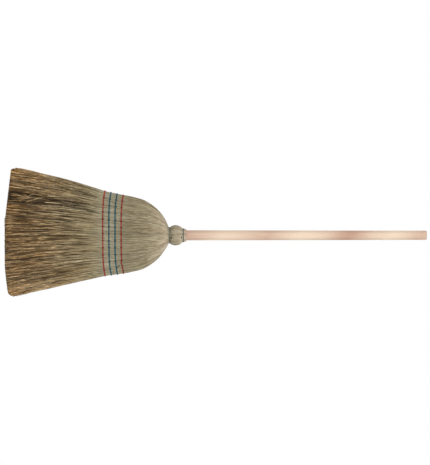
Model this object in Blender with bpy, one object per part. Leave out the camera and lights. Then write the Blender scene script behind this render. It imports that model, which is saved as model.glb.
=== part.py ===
"""Straw broom with a wired neck, four sewn rows and a turned wooden handle.

The broom stands upright on its sweeping edge. Z runs up along the handle, X runs across the
wide flat head, and the front of the head faces -Y. The origin lies on the floor under the
middle of the sweeping edge. All sizes are in metres.

The head is a ring of twelve front and twelve back bundles of straw. Each bundle is one loft
that starts as a fifteen degree stave round the handle, swells over the knot, spreads over the
shoulder into a flat slab, and ends in sixteen loose strands.
"""

import math
import random

import bmesh
import bpy
import numpy as np

# Overall sizes of the broom.
BROOM_LENGTH = 1.300
HEAD_LENGTH = 0.560
SWEEP_WIDTH = 0.410
SWEEP_DEPTH = 0.054
BIND_WIDTH = 0.240
BIND_DEPTH = 0.045
BIND_PINCH = 0.003
SHOULDER_DEPTH = 0.062
HEAD_LEAN = 0.0112

# Handle.
HANDLE_DIAMETER = 0.031
HANDLE_TOP_DIAMETER = 0.0285
HANDLE_POINT_DIAMETER = 0.012
HANDLE_TOP_ROUND = 0.0045
HANDLE_SIDES = 32
HANDLE_POINT_SHARE = 0.25

# Straw laid over the handle at the neck, the knot, the top wire and the trimmed collar.
NECK_LAYER = 0.0086
KNOT_LAYER = 0.0158
TOP_LAYER = 0.0050
COLLAR_LAYER = 0.0022
COLLAR_LENGTH = 0.0090
NECK_LENGTH = 0.0514
GROOVE_MARGIN = 0.0006
GROOVE_LIP = 0.0008

# Bundles of straw.
BUNDLES = 12
CELLS = 4
GAP = 0.0003
RIDGE_DEPTH = 0.0010
VALLEY_SHARE = 0.6
ROUND_SQUARENESS_SHARE = 1.0
FLAT_SQUARENESS_SHARE = 1.3
TIP_SQUARENESS_SHARE = 1.5
CORE_CLEARANCE_SHARE = 0.03
CORE_END_SHARE = 0.80
END_SHARE = 0.93
SEAM_SLANT = 0.0036

# Loose strands.
TIP_GAP = 0.0006
STRAND_TIP_SHARE = 0.80
STRAND_MIDDLE_SHARE = 0.90
STRAND_MIDDLE_HEIGHT_SHARE = 0.52
STRAND_DRIFT_SHARE = 0.85
LEFT_BULGE = 0.0078
LEFT_RISE = 0.0178
LEFT_RISE_RUN = 0.142
RIGHT_RISE = 0.0086
RIGHT_RISE_RUN = 0.088
LEFT_CORNER_SHARE = 0.89
CORNER_ROUND = 0.014

# Sewn rows, counted from the tips.
ROW_HEIGHT = 0.3038
ROW_PITCH = 0.0189
ROW_BOW = 0.0060
ROWS = ("outer_red", "outer_teal", "inner_teal", "inner_red")
TWINE_DIAMETER = 0.0017
TWINE_GAP = 0.0006
TWINE_SIDES = 3
STITCH_REACH = 0.0048
SEW_MARGIN = 0.0150
TOP_MARGIN = 0.0020
TAIL_RUN = 0.0085
TAIL_RISE = 0.0055

# Binding wires.
WIRE_DIAMETER = 0.0011
WIRE_GAP = 0.0005
WIRE_TURNS = 2.25
WIRE_STEPS = 20
WIRE_SIDES = 4

# Nails that hold the wires.
NAIL_BUNDLE = 7
NAIL_SHANK_DIAMETER = 0.0018
NAIL_HEAD_DIAMETER = 0.0040
NAIL_HEAD_HEIGHT = 0.0008
NAIL_POINT_LENGTH = 0.0022
NAIL_BITE = 0.0090
NAIL_SETBACK = 0.0030
NAIL_SIDES = 8

# The dome between the top row and the neck: height, width, depth, spread of the seams from
# equal angles to equal widths, and width of the hollow round the handle.
DOME_SHARES = (
    (0.216, 0.934, 0.275, 1.00, 0.60),
    (0.394, 0.865, 0.640, 0.95, 0.56),
    (0.548, 0.756, 0.855, 0.85, 0.52),
    (0.680, 0.628, 1.000, 0.70, 0.46),
    (0.795, 0.477, 1.000, 0.50, 0.38),
    (0.896, 0.291, 0.855, 0.30, 0.27),
    (0.965, 0.124, 0.610, 0.12, 0.10),
)
# The knot between the two wires: height, and layer between the two grooves' rims and its crown.
KNOT_SHARES = ((0.00, 0.44), (0.16, 0.80), (0.37, 1.00), (0.64, 0.86), (0.84, 0.52), (0.99, 0.06))
# Places round half the head, in bundles, where a wrap of twine bends.
WRAP_SHARES = (0.0, 0.25, 0.6, 1.0, 2.0, 3.0, 4.5, 6.0, 7.5, 9.0, 10.0, 11.0, 11.4, 11.75)

STRAW = (0.305, 0.270, 0.175)
STRAW_TONES = (1.00, 0.90, 1.08, 0.95, 1.04, 0.86)
WOOD = (0.720, 0.480, 0.330)
RED = (0.400, 0.045, 0.036)
TEAL = (0.030, 0.100, 0.115)
WIRE = (0.130, 0.135, 0.095)
NAIL = (0.045, 0.040, 0.032)

handle_radius = HANDLE_DIAMETER / 2
neck_radius = handle_radius + NECK_LAYER
twine_radius = TWINE_DIAMETER / 2
wire_radius = WIRE_DIAMETER / 2
wire_pitch = WIRE_DIAMETER + WIRE_GAP
wire_band = WIRE_TURNS * wire_pitch + WIRE_DIAMETER
groove_half = wire_band / 2 + GROOVE_MARGIN
seam_gap = TWINE_DIAMETER + 2 * GAP + GAP / 3
wrap_offset = twine_radius + TWINE_GAP
stitch_offset = (wrap_offset + 2 * twine_radius + TWINE_GAP) * 1.06
top_row = ROW_HEIGHT + ROW_PITCH * (len(ROWS) - 1)
bind_bottom = ROW_HEIGHT - SEW_MARGIN
bind_top = top_row + ROW_BOW + STITCH_REACH + twine_radius + TOP_MARGIN
lower_wire_height = HEAD_LENGTH - NECK_LENGTH
upper_wire_height = HEAD_LENGTH - COLLAR_LENGTH
neck_base = lower_wire_height - groove_half - GROOVE_LIP
handle_point = bind_top + HANDLE_POINT_SHARE * (neck_base - bind_top)
handle_x = HEAD_LEAN


def clear_scene():
    """Empty the file before the broom is built."""
    for item in list(bpy.data.objects):
        bpy.data.objects.remove(item, do_unlink=True)


def material(name, colour, roughness, metallic=0.0):
    """A Principled material with one colour."""
    made = bpy.data.materials.new(name)
    made.use_nodes = True
    shader = made.node_tree.nodes["Principled BSDF"]
    shader.inputs["Base Color"].default_value = (*colour, 1.0)
    shader.inputs["Roughness"].default_value = roughness
    shader.inputs["Metallic"].default_value = metallic
    return made


def add_object(name, bm, look, smooth=False, place=(0, 0, 0)):
    """Turn a bmesh into a named object with one material."""
    mesh = bpy.data.meshes.new(name)
    bm.to_mesh(mesh)
    bm.free()
    if smooth:
        mesh.shade_smooth()
        mesh.set_sharp_from_angle(angle=math.radians(50))
    made = bpy.data.objects.new(name, mesh)
    made.location = place
    made.data.materials.append(look)
    bpy.context.scene.collection.objects.link(made)
    return made


def taper_radius(height):
    """Radius of the handle's hidden end, which tapers from the neck to its point."""
    share = (height - handle_point) / (neck_base - handle_point)
    share = min(1.0, max(0.0, share))
    return HANDLE_POINT_DIAMETER / 2 + share * (handle_radius - HANDLE_POINT_DIAMETER / 2)


def flare(height):
    """Half width of the straight sides between the sweeping edge and the top row."""
    share = height / bind_top
    return SWEEP_WIDTH / 2 + share * (BIND_WIDTH - SWEEP_WIDTH) / 2


def lean(height):
    """Sideways place of the middle of the head, which leans away from the handle's axis."""
    lean_shares = (
        (0.0, 0.0),
        (0.36 * HEAD_LENGTH, 0.0),
        (0.53 * HEAD_LENGTH, 0.45),
        (0.67 * HEAD_LENGTH, 0.73),
        (0.88 * HEAD_LENGTH, 0.73),
        (HEAD_LENGTH - NECK_LENGTH, 1.0),
    )
    heights = [height_share[0] for height_share in lean_shares]
    shares = [height_share[1] for height_share in lean_shares]
    return HEAD_LEAN * float(np.interp(height, heights, shares))


def level(height, width, depth, spread, hollow, gap, square, shut=False):
    """One cross-section of the head, as half sizes round its middle."""
    radius = (taper_radius(height) + GAP) * (1 + CORE_CLEARANCE_SHARE)
    core_width = radius + hollow * (width - radius)
    centre = lean(height)
    return {
        "z": height,
        "a": width,
        "b": depth,
        "n": square,
        "spread": spread,
        "x": centre,
        "gap": gap,
        "core_a": core_width,
        "core_b": GAP / 2 if shut else radius,
        "core_x": handle_x + hollow * (centre - handle_x),
        "end": 1 - (1 - END_SHARE) * spread,
    }


def flat_level(height, width, depth, gap, square):
    """A section of the slab, where front and back bundles meet at the middle plane."""
    return level(height, width, depth, 1.0, 1.0, gap, square, shut=True)


def ring_level(height, layer):
    """A round section of the neck, with the handle filling its middle."""
    radius = handle_radius + layer
    made = level(height, radius, radius, 0.0, 0.0, GAP, ROUND_SQUARENESS_SHARE)
    made["x"] = handle_x
    made["core_x"] = handle_x
    return made


def head_levels():
    """All sections of a bundle, from the first row of strands up to the collar."""
    half = BIND_DEPTH / 2
    rows = [
        flat_level(bind_bottom, flare(bind_bottom) - 0.8 * BIND_PINCH, 1.05 * half, seam_gap,
                   FLAT_SQUARENESS_SHARE),
        flat_level(ROW_HEIGHT, flare(ROW_HEIGHT) - BIND_PINCH, half, seam_gap,
                   FLAT_SQUARENESS_SHARE),
        flat_level(bind_top, flare(bind_top), 1.02 * half, seam_gap, FLAT_SQUARENESS_SHARE),
    ]
    for height, width, depth, spread, hollow in DOME_SHARES:
        rows.append(level(
            bind_top + height * (neck_base - bind_top),
            neck_radius + width * (BIND_WIDTH / 2 - neck_radius),
            neck_radius + depth * (SHOULDER_DEPTH / 2 - neck_radius),
            spread,
            hollow,
            GAP,
            ROUND_SQUARENESS_SHARE + spread * (FLAT_SQUARENESS_SHARE - ROUND_SQUARENESS_SHARE),
        ))
    rows.append(ring_level(neck_base, NECK_LAYER + 2 * GROOVE_LIP))
    rows.append(ring_level(lower_wire_height - groove_half, NECK_LAYER))
    rows.append(ring_level(lower_wire_height + groove_half, NECK_LAYER))
    low = lower_wire_height + groove_half + GROOVE_LIP
    high = upper_wire_height - groove_half
    for height, share in KNOT_SHARES:
        base = NECK_LAYER + height * (TOP_LAYER - NECK_LAYER)
        rows.append(ring_level(low + height * (high - low), base + share * (KNOT_LAYER - base)))
    rows.append(ring_level(high, TOP_LAYER))
    rows.append(ring_level(upper_wire_height + groove_half, TOP_LAYER))
    rows.append(ring_level(HEAD_LENGTH, COLLAR_LAYER))
    return rows


LEVELS = head_levels()
TIPS = flat_level(0.0, SWEEP_WIDTH / 2, SWEEP_DEPTH / 2, TIP_GAP, TIP_SQUARENESS_SHARE)


def across(section, seam):
    """Share of the half width at a place counted in bundles from the left edge."""
    round_share = -math.cos(math.pi * seam / BUNDLES)
    flat_share = 2 * seam / BUNDLES - 1
    return round_share + section["spread"] * (flat_share - round_share)


def outline(section, seam):
    """Point on the front outline of a section, a superellipse, and the normal there."""
    share = across(section, seam)
    power = 2 * section["n"]
    rest = max(0.0, 1 - abs(share) ** power) ** (1 / power)
    point = np.array([section["x"] + section["a"] * share, -section["b"] * rest])
    slope_x = math.copysign(abs(share) ** (power - 1) / section["a"], share)
    slope_y = -(rest ** (power - 1)) / section["b"]
    normal = np.array([slope_x, slope_y])
    return point, normal / np.linalg.norm(normal)


def seam_slant(seam):
    """Sideways lean of a seam on its way in, so that no seam can be looked through."""
    return SEAM_SLANT if seam <= BUNDLES / 2 else -SEAM_SLANT


def core(section, seam):
    """Point where a seam meets the hollow round the handle, or the middle plane."""
    share = across(section, seam)
    last = seam in (0, BUNDLES)
    shrink = section["end"] if last else 1.0
    drop = section["core_b"] * math.sqrt(max(0.0, 1 - share * share))
    if last:
        drop = 0.0
    elif section["core_b"] <= GAP:
        drop = GAP / 2
    x = section["core_x"] + section["core_a"] * share * shrink
    if not last:
        x += seam_slant(seam) * section["spread"]
    return np.array([x, -drop])


def bundle_ring(section, index):
    """Seven corners of one bundle: inner left, five along the outline, inner right."""
    corners = []
    for seam, turn in ((index, 1), (index + 1, -1)):
        outer, _ = outline(section, seam)
        inner = core(section, seam)
        along = (outer - inner) / np.linalg.norm(outer - inner)
        side = np.array([-along[1], along[0]]) * turn
        gap = GAP if seam in (0, BUNDLES) else section["gap"]
        shift = side * gap / 2
        inner_corner = inner + shift
        inner_corner[1] = min(inner_corner[1], -GAP / 2)
        corners.append((inner_corner, outer - along * RIDGE_DEPTH + shift))
    between = []
    for share, push in ((0.25, 0.0), (0.5, VALLEY_SHARE), (0.75, 0.0)):
        point, normal = outline(section, index + share)
        between.append(point - normal * RIDGE_DEPTH * push)
    return [corners[0][0], corners[0][1], *between, corners[1][1], corners[1][0]]


def cell_grid(ring):
    """Five by five points over a bundle's section, from its inner edge to its outline."""
    inner_left, inner_right = ring[0], ring[6]
    rows = []
    for p in range(CELLS + 1):
        inner = inner_left + (inner_right - inner_left) * p / CELLS
        outer = ring[1 + p]
        rows.append([inner + (outer - inner) * q / CELLS for q in range(CELLS + 1)])
    return rows


def edge_height(x):
    """Height of the worn sweeping edge, flat in the middle and rising to both corners."""
    half = SWEEP_WIDTH / 2
    left_corner = -LEFT_CORNER_SHARE * half
    rise = 0.0
    left = (left_corner + LEFT_RISE_RUN - x) / LEFT_RISE_RUN
    if left > 0:
        rise = LEFT_RISE * left
    right = (x - (half - CORNER_ROUND / 2 - RIGHT_RISE_RUN)) / RIGHT_RISE_RUN
    if right > 0:
        rise = RIGHT_RISE * right ** 1.4
    over = (abs(x) - (half - CORNER_ROUND)) / CORNER_ROUND
    if over > 0:
        rise += CORNER_ROUND * (1 - math.sqrt(max(0.0, 1 - min(1.0, over) ** 2)))
    return rise


def bulged(point):
    """A place halfway down the loose straw, moved outwards on the left, where it bows."""
    out_share = min(0.0, point[0]) / (SWEEP_WIDTH / 2)
    return np.array([point[0] - LEFT_BULGE * out_share ** 2, point[1]])


def strand_corners(cap, tip, cell, share, height_share, drift):
    """Three corners of a strand at a share of its way from the cap to the sweeping edge."""
    p, q = cell
    places = ((p, q), (p + 1, q + 1), (p, q + 1))
    grid = [[cap[i][j] + (tip[i][j] - cap[i][j]) * height_share for j in (q, q + 1)]
            for i in (p, p + 1)]
    middle = sum(grid[i][j] for i in (0, 1) for j in (0, 1)) / 4
    size = grid[1][1] - grid[0][0]
    room = (1 - share) / 2
    shift = np.array([drift[0] * abs(size[0]), drift[1] * abs(size[1])]) * room
    return [middle + (grid[i - p][j - q] - middle) * share + shift for i, j in places]


def make_bundle(name, index, back, look, seed):
    """Loft one bundle from its strands' cap to the collar and draw the strands from the cap."""
    dice = random.Random(seed)
    flip = -1.0 if back else 1.0
    bm = bmesh.new()

    def corner(point, height):
        return bm.verts.new((point[0], point[1] * flip, height))

    def face(*verts):
        return bm.faces.new(verts[::-1] if back else verts)

    cap = cell_grid(bundle_ring(LEVELS[0], index))
    tip = cell_grid(bundle_ring(TIPS, index))
    base = [[corner(point, LEVELS[0]["z"]) for point in row] for row in cap]
    rings = [[corner(point, section["z"]) for point in bundle_ring(section, index)]
             for section in LEVELS[1:]]

    # The strip above the cap joins the cap's sixteen edges to the seven of the first ring.
    upper = rings[0]
    for p in range(CELLS):
        face(base[p][CELLS], base[p + 1][CELLS], upper[p + 2], upper[p + 1])
    sides = (
        ([base[0][q] for q in range(CELLS + 1)], upper[0], upper[1]),
        ([base[CELLS][CELLS - q] for q in range(CELLS + 1)], upper[5], upper[6]),
        ([base[CELLS - p][0] for p in range(CELLS + 1)], upper[6], upper[0]),
    )
    for run, first, second in sides:
        half = CELLS // 2
        for k in range(CELLS):
            face(run[k], run[k + 1], first if k < half else second)
        face(run[half], second, first)

    # Both walls of a seam are cut along the same diagonal, so the gap between them stays even.
    for lower, higher in zip(rings, rings[1:]):
        for k in range(7):
            n = (k + 1) % 7
            a, b, c, d = lower[k], lower[n], higher[n], higher[k]
            if k == 0:
                face(a, b, c)
                face(a, c, d)
            elif k == 5:
                face(a, b, d)
                face(b, c, d)
            else:
                face(a, b, c, d)
    face(*rings[-1])

    # Each cell of the cap is cut corner to corner; one half grows into a strand.
    cell_layer = bm.faces.layers.int.new("cell")
    grown = []
    for p in range(CELLS):
        for q in range(CELLS):
            a, b = base[p][q], base[p + 1][q]
            c, d = base[p + 1][q + 1], base[p][q + 1]
            face(a, b, c)
            strand = face(a, c, d)
            strand[cell_layer] = p * CELLS + q
            grown.append(strand)

    drifts = []
    standing = []
    for p in range(CELLS):
        for q in range(CELLS):
            drifts.append([(dice.uniform(-1, 1) * STRAND_DRIFT_SHARE,
                            dice.uniform(-1, 1) * STRAND_DRIFT_SHARE) for _ in range(2)])
            standing.append([cap[p][q], cap[p + 1][q + 1], cap[p][q + 1]])

    def draw(faces, share, height_share, which):
        drawn = bmesh.ops.extrude_discrete_faces(bm, faces=faces)["faces"]
        for item in drawn:
            cell = item[cell_layer]
            place = divmod(cell, CELLS)
            drift = drifts[cell][which]
            corners = strand_corners(cap, tip, place, share, height_share, drift)
            bottom = LEVELS[0]["z"] * (1 - height_share)
            end = edge_height(sum(point[0] for point in corners) / 3)
            if not which:
                corners = [bulged(point) for point in corners]
            if which and end > 0:
                kept = 1 - end / LEVELS[0]["z"]
                corners = strand_corners(cap, tip, place, share, kept, drift)
                bottom = end
            now = standing[cell]
            moves = []
            for vert in item.verts:
                here = np.array([vert.co.x, vert.co.y * flip])
                nearest = min(range(3), key=lambda k: float(np.linalg.norm(now[k] - here)))
                moves.append((vert, corners[nearest]))
            for vert, point in moves:
                vert.co = (point[0], point[1] * flip, bottom)
            standing[cell] = corners
        return drawn

    outer = [item for item in grown if item[cell_layer] % CELLS == CELLS - 1]
    inner = [item for item in grown if item[cell_layer] % CELLS != CELLS - 1]
    bent = draw(outer, STRAND_MIDDLE_SHARE, STRAND_MIDDLE_HEIGHT_SHARE, 0)
    draw(bent + inner, STRAND_TIP_SHARE, 1.0, 1)
    return add_object(name, bm, look)


def make_core(name, right, look):
    """Straw that fills the head's hollow beside the handle's tapered end."""
    bm = bmesh.new()
    sign = 1 if right else -1
    rings = []
    for section in LEVELS[3:9]:
        polyline = [core(section, seam) for seam in range(BUNDLES + 1)]
        xs = [point[0] for point in polyline]
        ys = [-point[1] for point in polyline]
        start = handle_x + sign * (taper_radius(section["z"]) + 2 * GAP)
        end = section["core_x"] + sign * section["core_a"] * CORE_END_SHARE
        half = []
        for share in (0.0, 0.5, 1.0):
            x = start + share * (end - start)
            half.append((x, max(GAP, float(np.interp(x, xs, ys)) - 3 * GAP)))
        ring = [(x, -y) for x, y in half] + [(x, y) for x, y in reversed(half)]
        if not right:
            ring.reverse()
        rings.append([bm.verts.new((x, y, section["z"])) for x, y in ring])
    for lower, higher in zip(rings, rings[1:]):
        for k in range(6):
            n = (k + 1) % 6
            bm.faces.new((lower[k], lower[n], higher[n], higher[k]))
    bm.faces.new(rings[0][::-1])
    bm.faces.new(rings[-1])
    return add_object(name, bm, look)


def lathe(profile, sides):
    """Spin a profile of radius and height round Z and close both ends with flat discs."""
    bm = bmesh.new()
    verts = [bm.verts.new((radius, 0, height)) for radius, height in profile]
    edges = [bm.edges.new(pair) for pair in zip(verts, verts[1:])]
    bmesh.ops.spin(bm, geom=verts + edges, angle=math.tau, steps=sides, axis=(0, 0, 1),
                   cent=(0, 0, 0), use_merge=True)
    rims = [edge for edge in bm.edges if edge.is_boundary]
    bmesh.ops.holes_fill(bm, edges=rims, sides=sides)
    bmesh.ops.recalc_face_normals(bm, faces=bm.faces)
    return bm


def make_handle(look):
    """Round handle: hidden taper, straight neck, slight taper and a rounded end."""
    top = HANDLE_TOP_DIAMETER / 2
    profile = [
        (HANDLE_POINT_DIAMETER / 2, handle_point),
        (handle_radius, neck_base),
        (handle_radius, HEAD_LENGTH),
        (top, BROOM_LENGTH - HANDLE_TOP_ROUND),
    ]
    for step in (1, 2, 3):
        angle = math.radians(25 * step)
        profile.append((
            top - HANDLE_TOP_ROUND * (1 - math.cos(angle)),
            BROOM_LENGTH - HANDLE_TOP_ROUND * (1 - math.sin(angle) / math.sin(math.radians(75))),
        ))
    return add_object("handle", lathe(profile, HANDLE_SIDES), look, True, (handle_x, 0, 0))


def tube(points, radius, sides):
    """A tube along straight runs: every ring lies in the plane that halves its corner."""
    points = np.asarray(points, dtype=float)
    runs = points[1:] - points[:-1]
    runs /= np.linalg.norm(runs, axis=1)[:, None]
    helper = np.array([0.0, 0.0, 1.0])
    if abs(np.dot(helper, runs[0])) > 0.9:
        helper = np.array([1.0, 0.0, 0.0])
    across_run = np.cross(runs[0], helper)
    across_run /= np.linalg.norm(across_run)
    other = np.cross(runs[0], across_run)
    angles = [math.tau * k / sides for k in range(sides)]
    ring = np.array([points[0] + radius * (math.cos(t) * across_run + math.sin(t) * other)
                     for t in angles])
    bm = bmesh.new()
    rings = [[bm.verts.new(point) for point in ring]]
    for index in range(1, len(points)):
        run = runs[index - 1]
        normal = run if index == len(runs) else run + runs[index]
        steps = ((points[index] - ring) @ normal) / (run @ normal)
        ring = ring + steps[:, None] * run
        rings.append([bm.verts.new(point) for point in ring])
    for first, second in zip(rings, rings[1:]):
        for k in range(sides):
            n = (k + 1) % sides
            bm.faces.new((first[k], first[n], second[n], second[k]))
    bm.faces.new(rings[0][::-1])
    bm.faces.new(rings[-1])
    bmesh.ops.recalc_face_normals(bm, faces=bm.faces)
    return bm


def least_gap(points, diameter):
    """Least clear distance between parts of a tube that aren't next to each other."""
    points = np.asarray(points, dtype=float)
    lengths = np.linalg.norm(points[1:] - points[:-1], axis=1)
    samples = []
    travel = []
    start = 0.0
    for first, second, length in zip(points, points[1:], lengths):
        count = max(2, int(length / (0.4 * diameter)))
        shares = np.arange(count) / count
        samples.append(first + shares[:, None] * (second - first))
        travel.append(start + shares * length)
        start += length
    samples = np.concatenate(samples)
    travel = np.concatenate(travel)
    least = np.inf
    for index in range(len(samples)):
        far = travel[index + 1:] - travel[index] > 3.2 * diameter
        if far.any():
            apart = np.linalg.norm(samples[index + 1:][far] - samples[index], axis=1)
            least = min(least, float(apart.min()))
    return least - diameter


def surface(seam, height, offset):
    """Point over the front outline at any height, held off along the normal."""
    heights = [section["z"] for section in LEVELS]
    upper = min(len(LEVELS) - 1, max(1, int(np.searchsorted(heights, height))))
    low, high = LEVELS[upper - 1], LEVELS[upper]
    share = (height - low["z"]) / (high["z"] - low["z"])
    low_point, low_normal = outline(low, seam)
    high_point, high_normal = outline(high, seam)
    point = low_point + share * (high_point - low_point)
    normal = low_normal + share * (high_normal - low_normal)
    normal /= np.linalg.norm(normal)
    point = point + normal * offset
    return np.array([point[0], point[1], height])


def row_height(row, seam):
    """Height of a sewn row, lowest in the middle of the head."""
    share = 2 * seam / BUNDLES - 1
    return ROW_HEIGHT + ROW_PITCH * row + ROW_BOW * share ** 4


def mirror(point):
    """The same place on the back of the head."""
    return point * np.array([1, -1, 1])


def row_path(row, tail):
    """Two wraps round the head, then eleven stitches through the seams, in one length."""
    pitch = TWINE_DIAMETER + 0.85 * TWINE_GAP
    half = [(seam, False) for seam in WRAP_SHARES]
    other = [(BUNDLES, True)] + [(seam, True) for seam in reversed(WRAP_SHARES[1:])]
    lap = half + other
    begin = lap.index((1.0, True))
    lap = lap[begin:] + lap[:begin]
    count = len(lap)

    def inside(seam, back, height, share):
        """A place on a seam's line, from the middle plane at share 0 to the outline at 1."""
        point = surface(seam, row_height(row, seam) + height, 0.0)
        point[0] += seam_slant(seam) * (1 - share)
        point[1] *= share
        return mirror(point) if back else point

    def seam_point(seam, back, offset, height):
        """A place on a seam's line, held off the outline."""
        depth = -surface(seam, row_height(row, seam) + height, 0.0)[1]
        return inside(seam, back, height, 1 + offset / depth)

    path = [inside(1, True, -pitch, 0.3)]
    for step in range(2 * count + 1):
        seam, back = lap[step % count]
        climb = pitch * (step / count - 1)
        if step in (0, 2 * count):
            path.append(seam_point(1, True, wrap_offset * 1.04, climb))
            continue
        point = surface(seam, row_height(row, seam), wrap_offset)
        point[2] += climb
        path.append(mirror(point) if back else point)
    path.append(seam_point(1, True, wrap_offset * 1.04, STITCH_REACH))
    last = BUNDLES - 1
    for seam in range(1, BUNDLES):
        up, down = STITCH_REACH, -STITCH_REACH
        if tail and seam == last:
            up, down = down, up
        if seam > 1:
            path.append(seam_point(seam, True, stitch_offset, up))
        path.append(inside(seam, False, up, 0.0))
        path.append(seam_point(seam, False, stitch_offset, up))
        path.append(seam_point(seam, False, stitch_offset, down))
        if seam < last:
            path.append(inside(seam, False, down, 0.0))
            path.append(seam_point(seam, True, stitch_offset, down))
    if tail:
        end = surface(last, row_height(row, last) + STITCH_REACH + TAIL_RISE, wrap_offset)
        end[0] -= TAIL_RUN
        end[1] -= TAIL_RUN / 8
        path.append(end)
    else:
        path.append(inside(last, False, down, 0.3))
    return path


def make_twine(row, name, look):
    """One sewn row of twine."""
    path = row_path(row, name == "inner_teal")
    print("least gap of twine", name, round(least_gap(path, TWINE_DIAMETER) * 1000, 3), "mm")
    return add_object("twine_" + name, tube(path, twine_radius, TWINE_SIDES), look, True)


def make_wire(name, height, layer, look):
    """Turns of wire in one length round the neck."""
    radius = (handle_radius + layer + GAP + wire_radius) / math.cos(math.pi / WIRE_STEPS)
    count = int(WIRE_TURNS * WIRE_STEPS)
    path = []
    for step in range(count + 1):
        angle = math.radians(60) + math.tau * step / WIRE_STEPS
        climb = wire_pitch * (step / WIRE_STEPS - WIRE_TURNS / 2)
        path.append(np.array([handle_x + radius * math.cos(angle), radius * math.sin(angle),
                              height + climb]))
    print("least gap of", name, round(least_gap(path, WIRE_DIAMETER) * 1000, 3), "mm")
    return add_object(name, tube(path, wire_radius, WIRE_SIDES), look, True)


def neck_profile(height):
    """Radius and slope of the straw at a height between the two wires."""
    rings = [(section["z"], section["a"]) for section in LEVELS if section["spread"] == 0.0]
    for (low, first), (high, second) in zip(rings, rings[1:]):
        if low <= height <= high:
            slope = (second - first) / (high - low)
            return first + slope * (height - low), slope
    raise ValueError("height outside the neck")


def make_nail(name, height, look, hole_look, hosts):
    """A nail driven square to the knot's slope through a seam into the handle."""
    radius, slope = neck_profile(height)
    tilt = math.atan(slope)
    turn = math.pi * NAIL_BUNDLE / BUNDLES - math.pi
    reach = (radius - handle_radius) / math.cos(tilt) + NAIL_BITE
    head = NAIL_HEAD_DIAMETER / 2
    shank = NAIL_SHANK_DIAMETER / 2
    profile = [
        (shank / 5, -reach),
        (shank, NAIL_POINT_LENGTH - reach),
        (shank, GAP),
        (head, GAP),
        (head, GAP + NAIL_HEAD_HEIGHT / 2),
        (head * 0.6, GAP + NAIL_HEAD_HEIGHT),
    ]
    place = (handle_x + radius * math.cos(turn), radius * math.sin(turn), height)
    # the nail's own Z points out of the neck, square to the slope
    turned = (0, math.pi / 2 + tilt, turn)
    nail = add_object(name, lathe(profile, NAIL_SIDES), look, True, place)
    nail.rotation_euler = turned
    wide = (shank + GAP) / math.cos(math.pi / NAIL_SIDES)
    hole = [(wide, -reach - 2 * GAP), (wide, head)]
    cutter = add_object(name + "_hole", lathe(hole, NAIL_SIDES), hole_look, False, place)
    cutter.rotation_euler = turned
    cutter.hide_render = True
    cutter.display_type = "WIRE"
    for host in hosts:
        cut = host.modifiers.new(name + "_hole", "BOOLEAN")
        cut.operation = "DIFFERENCE"
        cut.solver = "EXACT"
        cut.object = cutter
    return nail


def build():
    """Make every piece of the broom."""
    clear_scene()
    wood = material("handle_wood", WOOD, 0.5)
    metal = material("binding_wire", WIRE, 0.45, 0.6)
    dark = material("nail_steel", NAIL, 0.5, 0.5)
    twines = {"red": material("red_twine", RED, 0.85), "teal": material("teal_twine", TEAL, 0.85)}
    straws = []
    for number, tone in enumerate(STRAW_TONES):
        colour = tuple(value * tone for value in STRAW)
        straws.append(material("straw_%d" % (number + 1), colour, 0.8))

    handle = make_handle(wood)
    fronts = []
    for index in range(BUNDLES):
        front = straws[(index * 5) % len(straws)]
        rear = straws[(index * 5 + 2) % len(straws)]
        name = "%02d" % (index + 1)
        fronts.append(make_bundle("front_bundle_" + name, index, False, front, 100 + index))
        make_bundle("back_bundle_" + name, index, True, rear, 200 + index)
    make_core("core_straw_left", False, straws[1])
    make_core("core_straw_right", True, straws[1])
    for row, name in enumerate(ROWS):
        make_twine(row, name, twines[name.split("_")[1]])
    make_wire("lower_wire", lower_wire_height, NECK_LAYER, metal)
    make_wire("upper_wire", upper_wire_height, TOP_LAYER, metal)
    hosts = [handle, fronts[NAIL_BUNDLE - 1], fronts[NAIL_BUNDLE]]
    low_nail = lower_wire_height + groove_half + NAIL_SETBACK
    high_nail = upper_wire_height - groove_half - NAIL_SETBACK
    make_nail("lower_nail", low_nail, dark, dark, hosts)
    make_nail("upper_nail", high_nail, dark, dark, hosts)


build()
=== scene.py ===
"""Straw broom: the looks of its straw, twine, wire and wood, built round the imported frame.

The broom stands upright on its sweeping edge. Z runs up along the handle, X runs across the
flat head, and the front of the head faces -Y. A place on the head is given by its height and
by how far round the head it lies: 0 to 1 over the front from the left edge to the right one,
and 1 to 2 over the back on the way home.
"""

import math

import bpy
import numpy as np
from bpy.props import FloatProperty, FloatVectorProperty, IntProperty, PointerProperty
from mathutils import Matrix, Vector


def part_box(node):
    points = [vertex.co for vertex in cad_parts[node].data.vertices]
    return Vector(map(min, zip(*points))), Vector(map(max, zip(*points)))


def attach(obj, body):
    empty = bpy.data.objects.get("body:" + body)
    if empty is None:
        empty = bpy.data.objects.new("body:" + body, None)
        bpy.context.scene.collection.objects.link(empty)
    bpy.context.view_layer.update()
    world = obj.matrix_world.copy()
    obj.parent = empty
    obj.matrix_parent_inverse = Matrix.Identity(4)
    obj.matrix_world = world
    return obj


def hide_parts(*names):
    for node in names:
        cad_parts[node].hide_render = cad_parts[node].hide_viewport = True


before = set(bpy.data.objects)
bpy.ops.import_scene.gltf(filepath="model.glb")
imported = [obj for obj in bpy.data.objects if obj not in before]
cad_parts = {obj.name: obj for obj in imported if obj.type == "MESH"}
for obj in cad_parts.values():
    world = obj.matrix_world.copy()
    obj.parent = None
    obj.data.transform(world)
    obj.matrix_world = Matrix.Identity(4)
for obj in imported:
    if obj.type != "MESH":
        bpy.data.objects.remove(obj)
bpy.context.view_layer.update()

bl_info = {
    "name": "Straw Broom",
    "version": (1, 0, 0),
    "blender": (4, 5, 0),
    "location": "3D View > Sidebar > Broom",
    "description": "Makes the straw, twine, wire and wood of a sewn broom",
    "category": "Object",
}

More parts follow.
